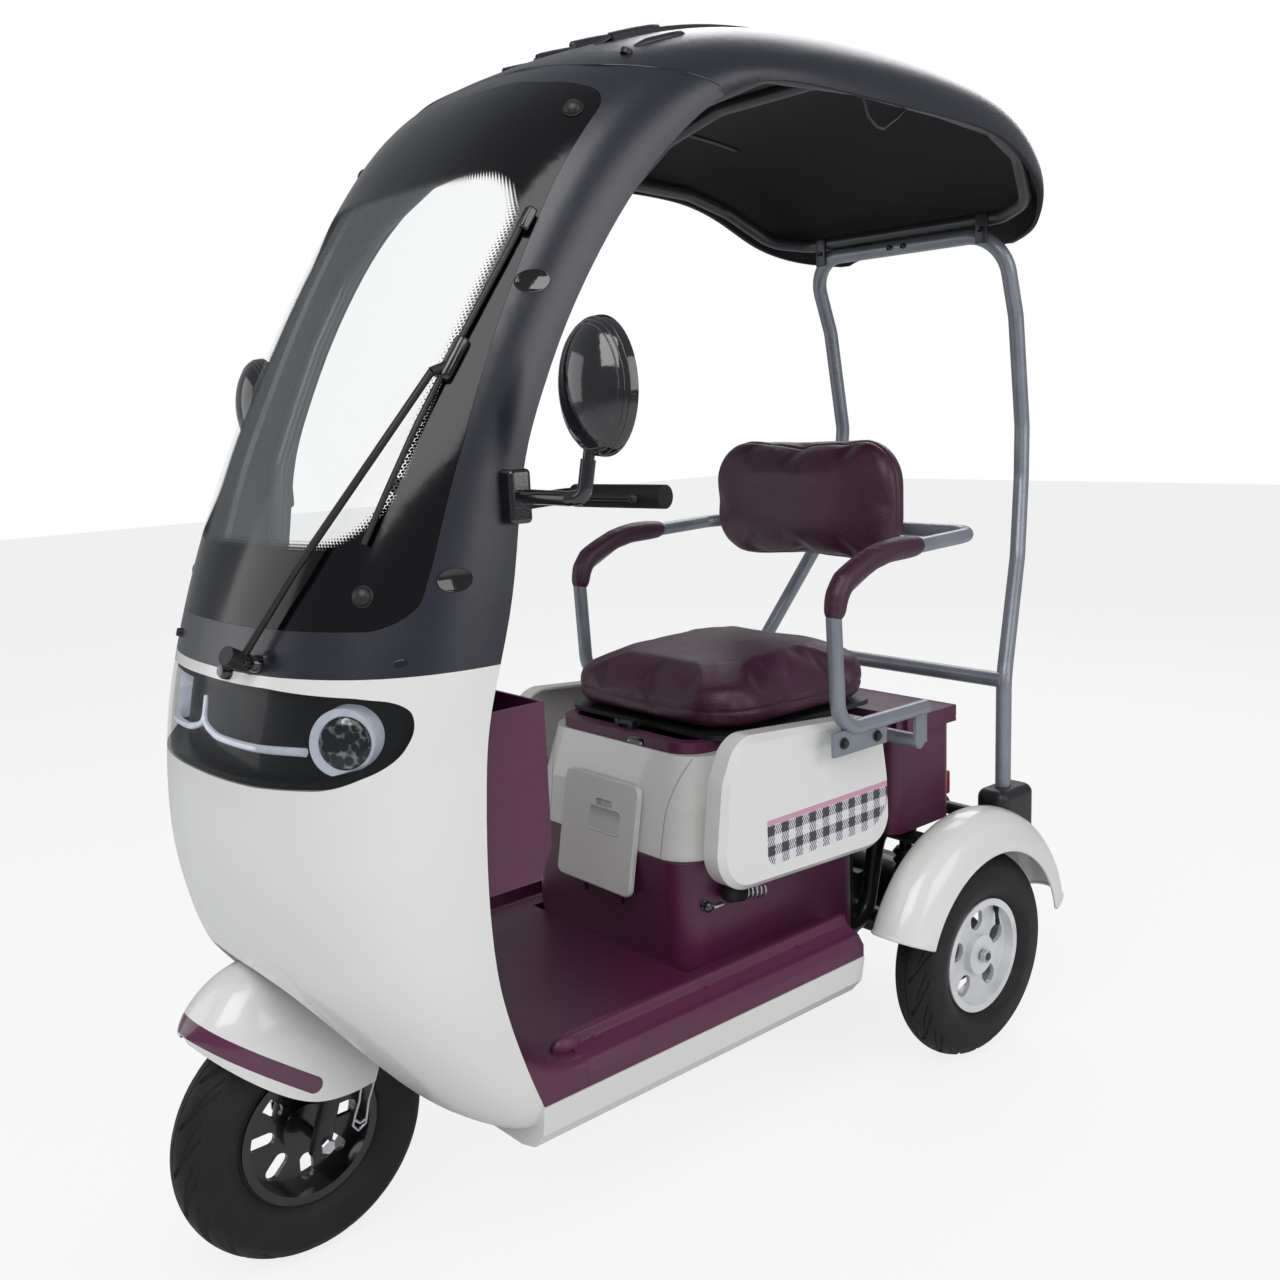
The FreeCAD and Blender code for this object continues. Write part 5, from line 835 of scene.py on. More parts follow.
class CAR_OT_tyres(bpy.types.Operator):
    """Tyres with sweeping grooves and ribbed walls"""

    bl_idname = "car.tyres"
    bl_label = "Tyres"

    def execute(self, context):
        sizes = context.scene.car_sizes
        for node, (name, body) in TYRES.items():
            low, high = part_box(node)
            centre = (low + high) / 2
            self.make_tyre(name, node, body, centre, (high.z - low.z) / 2, (high.x - low.x) / 2, sizes)
        return {"FINISHED"}

    def section(self, radius, half):
        """Profile from one bead over the tread to the other, with fine steps on the tread."""
        bead_share, seat, shoulder, tread_share, steps = 0.68, 0.094, math.radians(64), 0.95, 62
        wall = [(-bead_share * half, seat), (-bead_share * half, seat + 0.011),
                (-0.90 * half, seat + 0.020), (-0.99 * half, seat + 0.032),
                (-1.0 * half, seat + 0.042), (-0.97 * half, seat + 0.052)]
        crown, low = radius - 0.60 * half, math.cos(shoulder)
        tread = []
        for i in range(steps + 1):
            turn = -shoulder + 2 * shoulder * i / steps
            x = half * tread_share * math.sin(turn) / math.sin(shoulder)
            tread.append((x, crown + (radius - crown) * (math.cos(turn) - low) / (1 - low)))
        return wall + tread + [(-x, r) for x, r in reversed(wall)]

    def groove(self, x, turn, half):
        """How deep the rubber is cut at a place across the tread and round the wheel."""
        repeats, stagger = 18, 0.5
        share = abs(x) / half
        place = turn * repeats / math.tau + (stagger if x > 0 else 0.0)
        cut = 0.0
        if 0.12 < share < 0.86:
            width, slope = 0.060 + 0.045 * share, 0.02
            gap = self.to_whole(place - 1.35 * share ** 1.5)
            if gap < width + slope / 2:
                cut = min(1.0, (width - gap) / slope + 0.5)
        if 0.42 < share < 0.80 and self.to_whole(place - 2.3 * share ** 1.2 + 0.33) < 0.045:
            cut = max(cut, 0.75)
        if share < 0.035:
            cut = max(cut, 0.8)
        return cut

    def to_whole(self, value):
        """Distance to the nearest whole number."""
        return abs(value - round(value))

    def make_tyre(self, name, node, body, centre, radius, half, sizes):
        """Turned tyre, its tread cut by the grooves and its walls by fine rings."""
        tread_share, wall_share = 0.62, 0.93
        ring_start, ring_step, ring_depth = 0.094, 0.0022, 0.0004
        shape = bmesh.new()
        add_lathe(shape, self.section(radius, half), centre, LEFT, sizes.tread_steps)
        for vert in shape.verts:
            out = vert.co - centre
            x = out.x
            out.x = 0
            if out.length > radius - tread_share * half:
                turn = math.atan2(out.y, out.z) + math.tau
                vert.co -= out.normalized() * self.groove(x, turn, half) * sizes.groove_depth
            elif abs(x) > wall_share * half:
                ring = 0.5 + 0.5 * math.cos((out.length - ring_start) / ring_step * math.pi)
                vert.co.x -= math.copysign(ring_depth * ring, x)
        piece = finish_piece(name, shape, "tyre_rubber", body, 40.0)
        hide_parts(node)


# Settings of the cloth that swells a pad.
PAD_CLOTH = {"use_pressure": True, "quality": 5, "tension_stiffness": 12, "compression_stiffness": 12,
             "bending_stiffness": 1.0}
SEAM_HALF = 0.0022
SEAM_DEPTH = 0.0025


class CAR_OT_cushions(bpy.types.Operator):
    """Seat cushion, backrest and arm pads, swollen by a cloth simulation"""

    bl_idname = "car.cushions"
    bl_label = "Cushions"

    def execute(self, context):
        sizes = context.scene.car_sizes
        self.make_seat(context, sizes)
        self.make_backrest(context, sizes)
        self.make_arm_pads(context, sizes)
        return {"FINISHED"}

    def rounded_box(self, low, high, corner_axis, corner, edge):
        """Box with large rounds along one axis and smaller ones round its rims."""
        corner_steps, edge_steps, least_angle = 10, 6, 0.9
        shape = bmesh.new()
        add_block(shape, low, high)
        corner_edges = [e for e in shape.edges
                        if abs((e.verts[0].co - e.verts[1].co).normalized()[corner_axis]) > 0.99]
        bmesh.ops.bevel(shape, geom=corner_edges, offset=corner, segments=corner_steps, profile=0.5,
                        affect="EDGES", material=-1)
        rims = [e for e in shape.edges if len(e.link_faces) == 2 and e.calc_face_angle() > least_angle]
        bmesh.ops.bevel(shape, geom=rims, offset=edge, segments=edge_steps, profile=0.5,
                        affect="EDGES", material=-1)
        return shape

    def swell(self, context, piece, sizes, pressure, hold):
        """Remeshes, swells by cloth pressure and limits how far any point moved."""
        last_frame = 20
        remesh = piece.modifiers.new("voxels", "REMESH")
        remesh.mode = "VOXEL"
        remesh.voxel_size = sizes.pad_voxel
        context.view_layer.objects.active = piece
        piece.select_set(True)
        bpy.ops.object.modifier_apply(modifier=remesh.name)
        rest = [vert.co.copy() for vert in piece.data.vertices]
        group = piece.vertex_groups.new(name="held")
        group.add([i for i, co in enumerate(rest) if hold(co)], 1.0, "REPLACE")
        cloth = piece.modifiers.new("swell", "CLOTH")
        for key, value in PAD_CLOTH.items():
            setattr(cloth.settings, key, value)
        cloth.settings.uniform_pressure_force = pressure
        cloth.settings.effector_weights.gravity = 0
        cloth.settings.vertex_group_mass = group.name
        cloth.point_cache.frame_start = 1
        cloth.point_cache.frame_end = last_frame
        for step in range(1, last_frame + 1):
            context.scene.frame_set(step)
        bpy.ops.object.modifier_apply(modifier=cloth.name)
        piece.vertex_groups.clear()
        context.scene.frame_set(1)
        for vert, start in zip(piece.data.vertices, rest):
            move = vert.co - start
            if move.length > sizes.pad_swell:
                vert.co = start + move.normalized() * sizes.pad_swell
        piece.select_set(False)

    def soften(self, piece):
        """Smooths and subdivides the remeshed pad."""
        passes, levels = 4, 1
        shape = bmesh.new()
        shape.from_mesh(piece.data)
        for _ in range(passes):
            bmesh.ops.smooth_vert(shape, verts=shape.verts, factor=0.5, use_axis_x=True, use_axis_y=True,
                                  use_axis_z=True)
        shape.to_mesh(piece.data)
        shape.free()
        piece.data.shade_smooth()
        finer = piece.modifiers.new("finer", "SUBSURF")
        finer.levels = levels
        finer.render_levels = levels
        bpy.context.view_layer.objects.active = piece
        bpy.ops.object.modifier_apply(modifier=finer.name)

    def press_seam(self, piece, distance):
        """Draws a seam in: points near the seam line move inwards."""
        mesh = piece.data
        normals = [vert.normal.copy() for vert in mesh.vertices]
        for vert, normal in zip(mesh.vertices, normals):
            vert.co -= normal * SEAM_DEPTH * math.exp(-(distance(vert.co) / SEAM_HALF) ** 2)

    def make_seat(self, context, sizes):
        """Seat cushion: low at its front and sides, with a seam round it."""
        inset, foot, corner, edge = 0.010, 0.004, 0.085, 0.030
        crown = inset + 0.006
        front_drop, rear_rise, side_drop = 0.010, 0.008, 0.012
        pressure, held, seam_height, fill = 3.0, 0.012, 0.034, 0.7
        lowest, highest = 0.0004, 0.010
        low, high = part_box("seat_cushion")
        middle_y, half_y = (low.y + high.y) / 2, (high.y - low.y) / 2
        shape = self.rounded_box(low + Vector((inset, inset, foot)), high - Vector((inset, inset, crown)), 2,
                                 corner, edge)
        for vert in shape.verts:
            back = (vert.co.y - middle_y) / half_y
            side = vert.co.x / (high.x - low.x) * 2
            level = (vert.co.z - low.z) / (high.z - low.z)
            vert.co.z -= level * front_drop * max(0.0, -back) ** 2
            vert.co.z += level * rear_rise * max(0.0, back) ** 2
            vert.co.z -= level * side_drop * side ** 4
        piece = finish_piece("seat_cushion_leather", shape, "plum_leather", "seat", 180.0)
        self.swell(context, piece, sizes, pressure, lambda co: co.z < low.z + held)
        self.soften(piece)
        self.press_seam(piece, lambda co: co.z - low.z - seam_height)
        for vert in piece.data.vertices:
            vert.co.z = min(max(vert.co.z, low.z + lowest), high.z + highest)
        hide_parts("seat_cushion")

    def make_backrest(self, context, sizes):
        """Backrest pad, bowed round the rider's back, with a seam round it."""
        inset, corner, edge, bow = 0.008, 0.080, 0.022, 0.010
        pressure, held, seam_depth, fill = 2.6, 0.014, 0.030, 0.8
        low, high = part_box("backrest")
        margin = Vector((inset, inset, inset))
        shape = self.rounded_box(low + margin, high - margin, 1, corner, edge)
        for vert in shape.verts:
            side = vert.co.x / (high.x - low.x) * 2
            vert.co.y -= bow * side ** 2
        piece = finish_piece("backrest_leather", shape, "plum_leather", "body", 180.0)
        self.swell(context, piece, sizes, pressure, lambda co: co.y > high.y - held)
        self.soften(piece)
        self.press_seam(piece, lambda co: co.y - low.y - seam_depth
                        + bow * (co.x / (high.x - low.x) * 2) ** 2)
        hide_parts("backrest")

    def make_arm_pads(self, context, sizes):
        """Padded sleeves over the front bend and top of the armrest tubes."""
        tube_share, round_share, pressure, fill = 0.18, 0.93, 1.5, 0.9
        # Shares of the pads' length and height, and of their radius.
        route = [(0.0, 0.02, 0.62), (0.02, 0.12, 0.90), (0.045, 0.34, 0.97), (0.12, 0.52, 1.0),
                 (0.24, 0.62, 1.0), (0.42, 0.75, 1.0), (0.60, 0.815, 1.0), (0.80, 0.822, 0.98),
                 (0.95, 0.825, 0.88), (1.0, 0.825, 0.55)]
        low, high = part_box("armrest_pads")
        middle = high.x - (high.z - low.z) * tube_share
        half = high.x - middle
        start, length = low.y + half * 0.9, high.y - low.y - half
        shape = bmesh.new()
        for side in (-1, 1):
            points = [Vector((side * middle, start + length * back, low.z + (high.z - low.z) * up))
                      for back, up, share in route]
            add_pipe(shape, points, [half * round_share * share for back, up, share in route], 24)
        piece = finish_piece("armrest_pads_leather", shape, "plum_leather", "body", 180.0)
        self.swell(context, piece, sizes, pressure, lambda co: False)
        self.soften(piece)
        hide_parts("armrest_pads")


class CAR_OT_fenders(bpy.types.Operator):
    """Smooth turned rear fenders with rolled edges"""

    bl_idname = "car.fenders"
    bl_label = "Rear fenders"

    def execute(self, context):
        start, stop = math.radians(-67), math.radians(78)
        wall, lip, bead, steps, bead_steps = 0.0036, 0.0040, 0.0030, 104, 72
        # Places in from the outer edge and down from the crown, from the inner flange outwards.
        section = [(0.0998, -0.0650), (0.0998, -0.0300), (0.0962, -0.0195), (0.0880, -0.0087),
                   (0.0756, -0.0022), (0.0632, 0.0), (0.0500, -0.0010), (0.0362, -0.0047),
                   (0.0246, -0.0122), (0.0130, -0.0240), (0.0051, -0.0422), (0.0010, -0.0570), (0.0, -0.0660)]
        low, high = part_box("rear_fenders")
        crown = (rear_axle.y - low.y) / math.sin(-start)
        outline = smooth_line([(high.x - inward, crown + drop, 0) for inward, drop in section])
        lining = []
        for i, point in enumerate(outline):
            way = outline[min(i + 1, len(outline) - 1)] - outline[max(i - 1, 0)]
            lining.append(point + Vector((way.y, -way.x, 0)).normalized() * wall)
        middle = [(a + b) / 2 for a, b in zip(outline, lining)]
        shape = bmesh.new()
        for side in (-1, 1):
            self.add_shell(shape, outline + lining[::-1], side, start, stop, steps)
            for turn in (start, stop):
                add_pipe(shape, [self.swing(point, side, turn) for point in middle], lip)
            for edge in (middle[0], middle[-1]):
                turns = [start + (stop - start) * i / bead_steps for i in range(bead_steps + 1)]
                add_pipe(shape, [self.swing(edge, side, turn) for turn in turns], bead)
        piece = finish_piece("rear_fenders_turned", shape, "shell_gloss", "body", 30.0)
        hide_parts("rear_fenders")
        return {"FINISHED"}

    def swing(self, point, side, turn):
        """A section's point at an angle round the axle."""
        return Vector((point.x * side, rear_axle.y + point.y * math.sin(turn),
                       rear_axle.z + point.y * math.cos(turn)))

    def add_shell(self, shape, section, side, start, stop, steps):
        """Closed section swept round the axle, with both ends closed."""
        rings = []
        for i in range(steps + 1):
            turn = start + (stop - start) * i / steps
            rings.append([shape.verts.new(self.swing(point, side, turn)) for point in section])
        for ring, following in zip(rings, rings[1:]):
            for i in range(len(section)):
                j = (i + 1) % len(section)
                shape.faces.new((ring[i], ring[j], following[j], following[i]))
        half = len(section) // 2
        for ring in (rings[0], rings[-1]):
            for i in range(half - 1):
                shape.faces.new((ring[i], ring[i + 1], ring[-2 - i], ring[-1 - i]))


class CAR_OT_roof_parts(bpy.types.Operator):
    """Bolts, plugs, seam and rib ends of the roof, the windshield frame and the hoop"""

    bl_idname = "car.roof_parts"
    bl_label = "Roof parts"

    def execute(self, context):
        self.make_roof_bolts()
        self.make_shield_bolts()
        self.make_recesses()
        self.make_cowl_parts()
        self.make_bow_bolts()
        self.make_hoop_clamps()
        self.make_wire_hook()
        self.make_roof_seam()
        self.make_rib_fronts()
        return {"FINISHED"}

    def make_roof_bolts(self):
        """Bolts in front of the roof's ribs."""
        radius = 0.0085
        shape = bmesh.new()
        for place in both_sides(spot(0.255, 0.462, 1.61), spot(0.168, 0.456, 1.63), spot(0.082, 0.452, 1.64)):
            add_screw(shape, *seat_on("roof_canopy", place), radius)
        finish_piece("roof_bolts", shape, "black_satin", "body")

    def make_shield_bolts(self):
        """Domed nuts on washers at the windshield's corners."""
        places = both_sides(spot(0.264, 0.366, 1.534), spot(0.241, 0.031, 0.955))
        washer = [(-0.001, 0.0135), (0.0014, 0.0135), (0.0022, 0.0125), (0.0022, 0.0)]
        nut_radius, nut_height, nut_seat = 0.0118, 0.0085, 0.002
        shape = bmesh.new()
        add_studs(shape, washer, "windshield", places)
        add_studs(shape, dome(nut_radius, nut_height), "windshield", places, lift=nut_seat)
        finish_piece("windshield_bolts", shape, "black_satin", "body")

    def make_recesses(self):
        """Oval dished plugs in the pillars, nearly black as painted shade of the recesses."""
        places = both_sides(spot(0.2986, 0.2614, 1.318), spot(0.299, 0.1233, 0.9684))
        dish = [(-0.006, 1.0), (0.0006, 1.0), (0.0012, 0.97), (0.0010, 0.90), (0.0004, 0.84), (0.0003, 0.0)]
        half_length, half_height = 0.0225, 0.0145
        shape = bmesh.new()
        add_studs(shape, dish, "windshield_frame", places, 40, BACK, (half_length, half_height))
        finish_piece("pillar_recesses", shape, "seam_black_and_recess_shade", "body")

    def make_cowl_parts(self):
        """Round screws along the cowl, and at each side a slotted clip on a dark disc of painted shade for
        its hole.
        """
        screw_radius, screw_height = 0.0065, 0.006
        hole = [(-0.003, 1.0), (0.0004, 1.0), (0.0006, 0.9), (0.0003, 0.0)]
        clip = [(0.0002, 1.0), (0.0012, 0.8), (0.0016, 0.0)]
        hole_halves, clip_halves = (0.0085, 0.0048), (0.0040, 0.0016)
        clip_shift = BACK * 0.002 - UP * 0.0022
        sides = both_sides(spot(0.2806, 0.0526, 0.8753))
        screws, holes, clips = bmesh.new(), bmesh.new(), bmesh.new()
        for x in (-0.14, 0.0, 0.14):
            add_screw(screws, *seat_on("windshield_frame", spot(x, -0.05, 0.885)), screw_radius, screw_height)
        # The holes are dark discs: painted shade.
        add_studs(holes, hole, "windshield_frame", sides, 28, BACK, hole_halves)
        for place in sides:
            seat, out = seat_on("windshield_frame", place)
            add_turned(clips, clip, seat + clip_shift, out, 20, BACK, clip_halves)
        finish_piece("cowl_screws", screws, "black_satin", "body")
        finish_piece("cowl_holes", holes, "seam_black_and_recess_shade", "body")
        finish_piece("cowl_clips", clips, "silver_steel", "body")

    def make_bow_bolts(self):
        """Two bolts through each flattened foot of the roof's cross bow."""
        radius, height = 0.0055, 0.0045
        shape = bmesh.new()
        for place in both_sides(spot(0.345, 1.008, 1.588), spot(0.331, 1.006, 1.612)):
            add_screw(shape, *seat_on("roof_tube_frame", place), radius, height)
        finish_piece("bow_bolts", shape, "frame_paint", "body")

    def make_hoop_clamps(self):
        """Plates and bolts that join the hoop's top to the roof's rear tube."""
        clamp_x, bolt_x, back = 0.19, 0.016, 1.33
        half_width, front, behind, drop, rise, bevel = 0.012, 0.004, 0.002, 0.030, 0.012, 0.0015
        clamp_drop, clamp_radius, clamp_height = 0.006, 0.005, 0.004
        bolt_drop, bolt_radius, bolt_height = 0.015, 0.0055, 0.005
        plates, bolts = bmesh.new(), bmesh.new()
        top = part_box("rear_hoop")[1].z
        for x in (-bolt_x, bolt_x):
            add_screw(bolts, *seat_on("rear_hoop", spot(x, back, top - bolt_drop)), bolt_radius, bolt_height)
        for x in (-clamp_x, clamp_x):
            seat = seat_on("roof_tube_frame", spot(x, back, 1.46))[0]
            add_block(plates, (x - half_width, seat.y - front, top - drop),
                      (x + half_width, seat.y + behind, seat.z + rise), bevel)
            place = Vector((x, seat.y - front, top - clamp_drop))
            add_screw(bolts, place, -BACK, clamp_radius, clamp_height)
        finish_piece("hoop_clamps", plates, "dark_tube_paint", "body")
        finish_piece("hoop_clamp_bolts", bolts, "frame_paint", "body")

    def make_wire_hook(self):
        """Bent wire hook under the left roof tube."""
        wire, inward = 0.0022, 0.010
        # Share of the run along the tube, drop below it and share of the way inwards.
        bend = [(0.0, -0.002, 0.0), (0.25, 0.020, 1.0), (0.45, 0.031, 1.0), (0.60, 0.031, 1.0),
                (0.85, 0.014, 0.5), (1.0, -0.002, 0.0)]
        start = seat_on("roof_tube_frame", spot(0.35, 0.827, 1.575))[0]
        run = seat_on("roof_tube_frame", spot(0.35, 0.925, 1.572))[0] - start
        shape = bmesh.new()
        points = [start + run * share - UP * drop - LEFT * inward * reach for share, drop, reach in bend]
        add_pipe(shape, points, wire, 10)
        finish_piece("roof_wire_hook", shape, "dark_tube_paint", "body", 60.0)

    def make_roof_seam(self):
        """Dark joint along the canopy's front edge."""
        radius = 0.0014
        half = [(0.3379, 0.5518, 1.5700), (0.3341, 0.5344, 1.5765), (0.3197, 0.4967, 1.5838),
                (0.2862, 0.4526, 1.5916), (0.2380, 0.4210, 1.5986), (0.1493, 0.4047, 1.6137),
                (0.0700, 0.4000, 1.6200)]
        line = half + [(-x, back, z) for x, back, z in reversed(half)]
        edge = []
        for guess in [spot(*point) for point in line]:
            on_frame, on_canopy = seat_on("windshield_frame", guess)[0], seat_on("roof_canopy", guess)[0]
            nearer = (on_frame - guess).length < (on_canopy - guess).length
            edge.append(on_frame if nearer else on_canopy)
        shape = bmesh.new()
        add_pipe(shape, smooth_line(edge, 6), radius, 8)
        finish_piece("roof_seam", shape, "seam_black_and_recess_shade", "body", 60.0)

    def make_rib_fronts(self):
        """Front ends of the roof's ribs, just behind the bolts, and the outermost rib on each side."""
        start, step, front_steps, whole_steps = 0.478, 0.012, 13, 76
        above, slope, sunk, radius, taper = 1.74, 0.35, 0.0012, 0.0062, [0.0025, 0.0045]
        shape = bmesh.new()
        for x in (-0.255, -0.170, -0.085, 0.0, 0.085, 0.170, 0.255):
            steps = front_steps if abs(x) < 0.2 else whole_steps
            points = []
            for i in range(steps):
                seat, out = seat_on("roof_canopy", spot(x, start + step * i, above - abs(x) * slope))
                points.append(seat - out * sunk)
            add_pipe(shape, points, taper + [radius] * (steps - 4) + taper[::-1])
        finish_piece("roof_rib_fronts", shape, "roof_satin", "body", 60.0)


class CAR_OT_front_parts(bpy.types.Operator):
    """Wiper parts, mirror rings, lamp lenses with their light guide, and the fork's slotted bracket"""

    bl_idname = "car.front_parts"
    bl_label = "Front parts"

    def execute(self, context):
        self.make_wiper_parts()
        self.make_mirror_rings()
        self.make_lamp_parts()
        self.make_fender_bracket()
        return {"FINISHED"}

    def make_wiper_parts(self):
        """Gloss pivots on the cowl, the arm's knuckle and the blade's end cap."""
        arm_pivot = [(-0.003, 0.0115), (0.006, 0.0110), (0.012, 0.0085), (0.013, 0.0)]
        nut = [(0.010, 0.0050), (0.020, 0.0050), (0.0215, 0.0040), (0.0215, 0.0)]
        low_pivot = [(-0.003, 0.0100), (0.008, 0.0095), (0.013, 0.0070), (0.0140, 0.0)]
        cap_low, cap_high = (-0.008, -0.006, -0.026), (0.008, 0.006, 0.004)
        cap_bevel, cap_sunk = 0.0028, 0.002
        knuckle_half, knuckle_bevel = Vector((0.011, 0.0075, 0.030)), 0.006
        pivots, cap, knuckle = bmesh.new(), bmesh.new(), bmesh.new()
        arm_place = [spot(0.1193, -0.0536, 0.8725)]
        add_studs(pivots, arm_pivot, "windshield_frame", arm_place)
        add_studs(pivots, nut, "windshield_frame", arm_place, 6)
        add_studs(pivots, low_pivot, "front_shield", [spot(0.0602, -0.0652, 0.8568)])
        tip = seat_on("wiper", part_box("wiper")[1])[0]
        blade = (tip - seat_on("wiper", spot(0.262, 0.17, 1.22))[0]).normalized()
        add_block(cap, cap_low, cap_high, cap_bevel, 3, facing(blade, tip - blade * cap_sunk))
        joint = seat_on("wiper", spot(0.262, 0.165, 1.228))[0]
        add_block(knuckle, -knuckle_half, knuckle_half, knuckle_bevel, 4, facing(blade, joint))
        for name, shape in (("wiper_pivots", pivots), ("wiper_end_cap", cap), ("wiper_knuckle", knuckle)):
            finish_piece(name, shape, "black_gloss", "body")

    def make_fender_bracket(self):
        """Bright slotted bracket that hangs behind the left fork leg."""
        lean, wire, rib = math.radians(18), 0.0019, 0.0024
        rib_half, rib_low, rib_high, stem_low, stem_high = 0.0085, 0.026, 0.031, 0.040, 0.056
        outline = [(0.0, 0.042), (0.010, 0.034), (0.0095, 0.020), (0.0075, 0.0), (0.0095, -0.022),
                   (0.010, -0.032), (0.0, -0.042), (-0.010, -0.034), (-0.0095, -0.020), (-0.0075, 0.0),
                   (-0.0095, 0.022), (-0.010, 0.032), (0.0, 0.042)]
        middle = spot(0.070, 0.063, 0.224)
        along_way = Vector((0, math.sin(lean), math.cos(lean)))
        wide_way = Vector((0, math.cos(lean), -math.sin(lean)))
        shape = bmesh.new()
        add_pipe(shape, [middle + wide_way * wide + along_way * tall for wide, tall in outline], wire, 8)
        for end in (1, -1):
            foot, peak = along_way * rib_low * end, along_way * rib_high * end
            add_pipe(shape, [middle + wide_way * rib_half + foot, middle + peak,
                             middle - wide_way * rib_half + foot], rib, 8)
        add_pipe(shape, [middle + along_way * stem_low, middle + along_way * stem_high], wire, 8)
        finish_piece("fender_bracket", shape, "silver_steel", "steering", 60.0)

    def make_lamp_parts(self):
        """Wide domed lenses in the rings and a light guide that meets at the middle."""
        lens_radius, lens_height, lens_foot, sunk = 0.0325, 0.007, -0.010, 0.001
        thick, thinner = 0.0056, 0.0030
        route = [(0.193, -0.036, 0.770), (0.126, -0.067, 0.770), (0.055, -0.0795, 0.7725),
                 (0.025, -0.0805, 0.7775), (0.008, -0.0800, 0.7835), (0.001, -0.0790, 0.7910),
                 (0.0, -0.0770, 0.8010), (0.0, -0.0735, 0.8200)]
        lens = [(lens_foot, lens_radius)] + dome(lens_radius, lens_height, 10)[1:]
        rings = [vert.co for vert in frame["nodes"]["headlamp_rings"].data.vertices]
        lenses, guide = bmesh.new(), bmesh.new()
        for side in (-1, 1):
            ring = [co for co in rings if co.x * side > 0]
            axis = Vector((0.62 * side, -0.77, 0.14)).normalized()
            middle = sum(ring, Vector()) / len(ring)
            face = max((co - middle).dot(axis) for co in ring)
            add_turned(lenses, lens, middle + axis * (face - sunk), axis, 40)
            line = smooth_line([spot(x * side, back, z) for x, back, z in route], 6)
            add_pipe(guide, line, [thick - thinner * i / len(line) for i in range(len(line))])
        piece = finish_piece("headlamp_domes", lenses, "lamp_lens", "body", 60.0)
        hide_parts("headlamp_lenses")
        piece = finish_piece("headlamp_guide", guide, "lamp_ring", "body", 60.0)
        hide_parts("headlamp_strip")

    def make_mirror_rings(self):
        """Raised rings that run round each mirror's shell."""
        wire, steps = 0.0011, 56
        # Depth in front of the glass's middle and share of the glass's size.
        rings = [(-0.0075, 1.025), (-0.0135, 1.0), (-0.0195, 0.965)]
        shape = bmesh.new()
        for side in (-1, 1):
            middle, half_x, half_z = self.glass_middle(side)
            for depth, share in rings:
                points = []
                for i in range(steps + 1):
                    turn = math.tau * i / steps
                    reach = Vector((half_x * share * math.cos(turn), depth, half_z * share * math.sin(turn)))
                    points.append(seat_on("mirror_housings", middle + reach)[0])
                add_pipe(shape, points, wire, 8, close=False)
        finish_piece("mirror_rings", shape, "black_gloss", "body", 60.0)

    def glass_middle(self, side):
        """Middle and half sizes of one mirror glass."""
        verts = [vert.co for vert in frame["nodes"]["mirror_glasses"].data.vertices if vert.co.x * side > 0]
        low = Vector([min(co[axis] for co in verts) for axis in range(3)])
        high = Vector([max(co[axis] for co in verts) for axis in range(3)])
        return (low + high) / 2, (high.x - low.x) / 2, (high.z - low.z) / 2


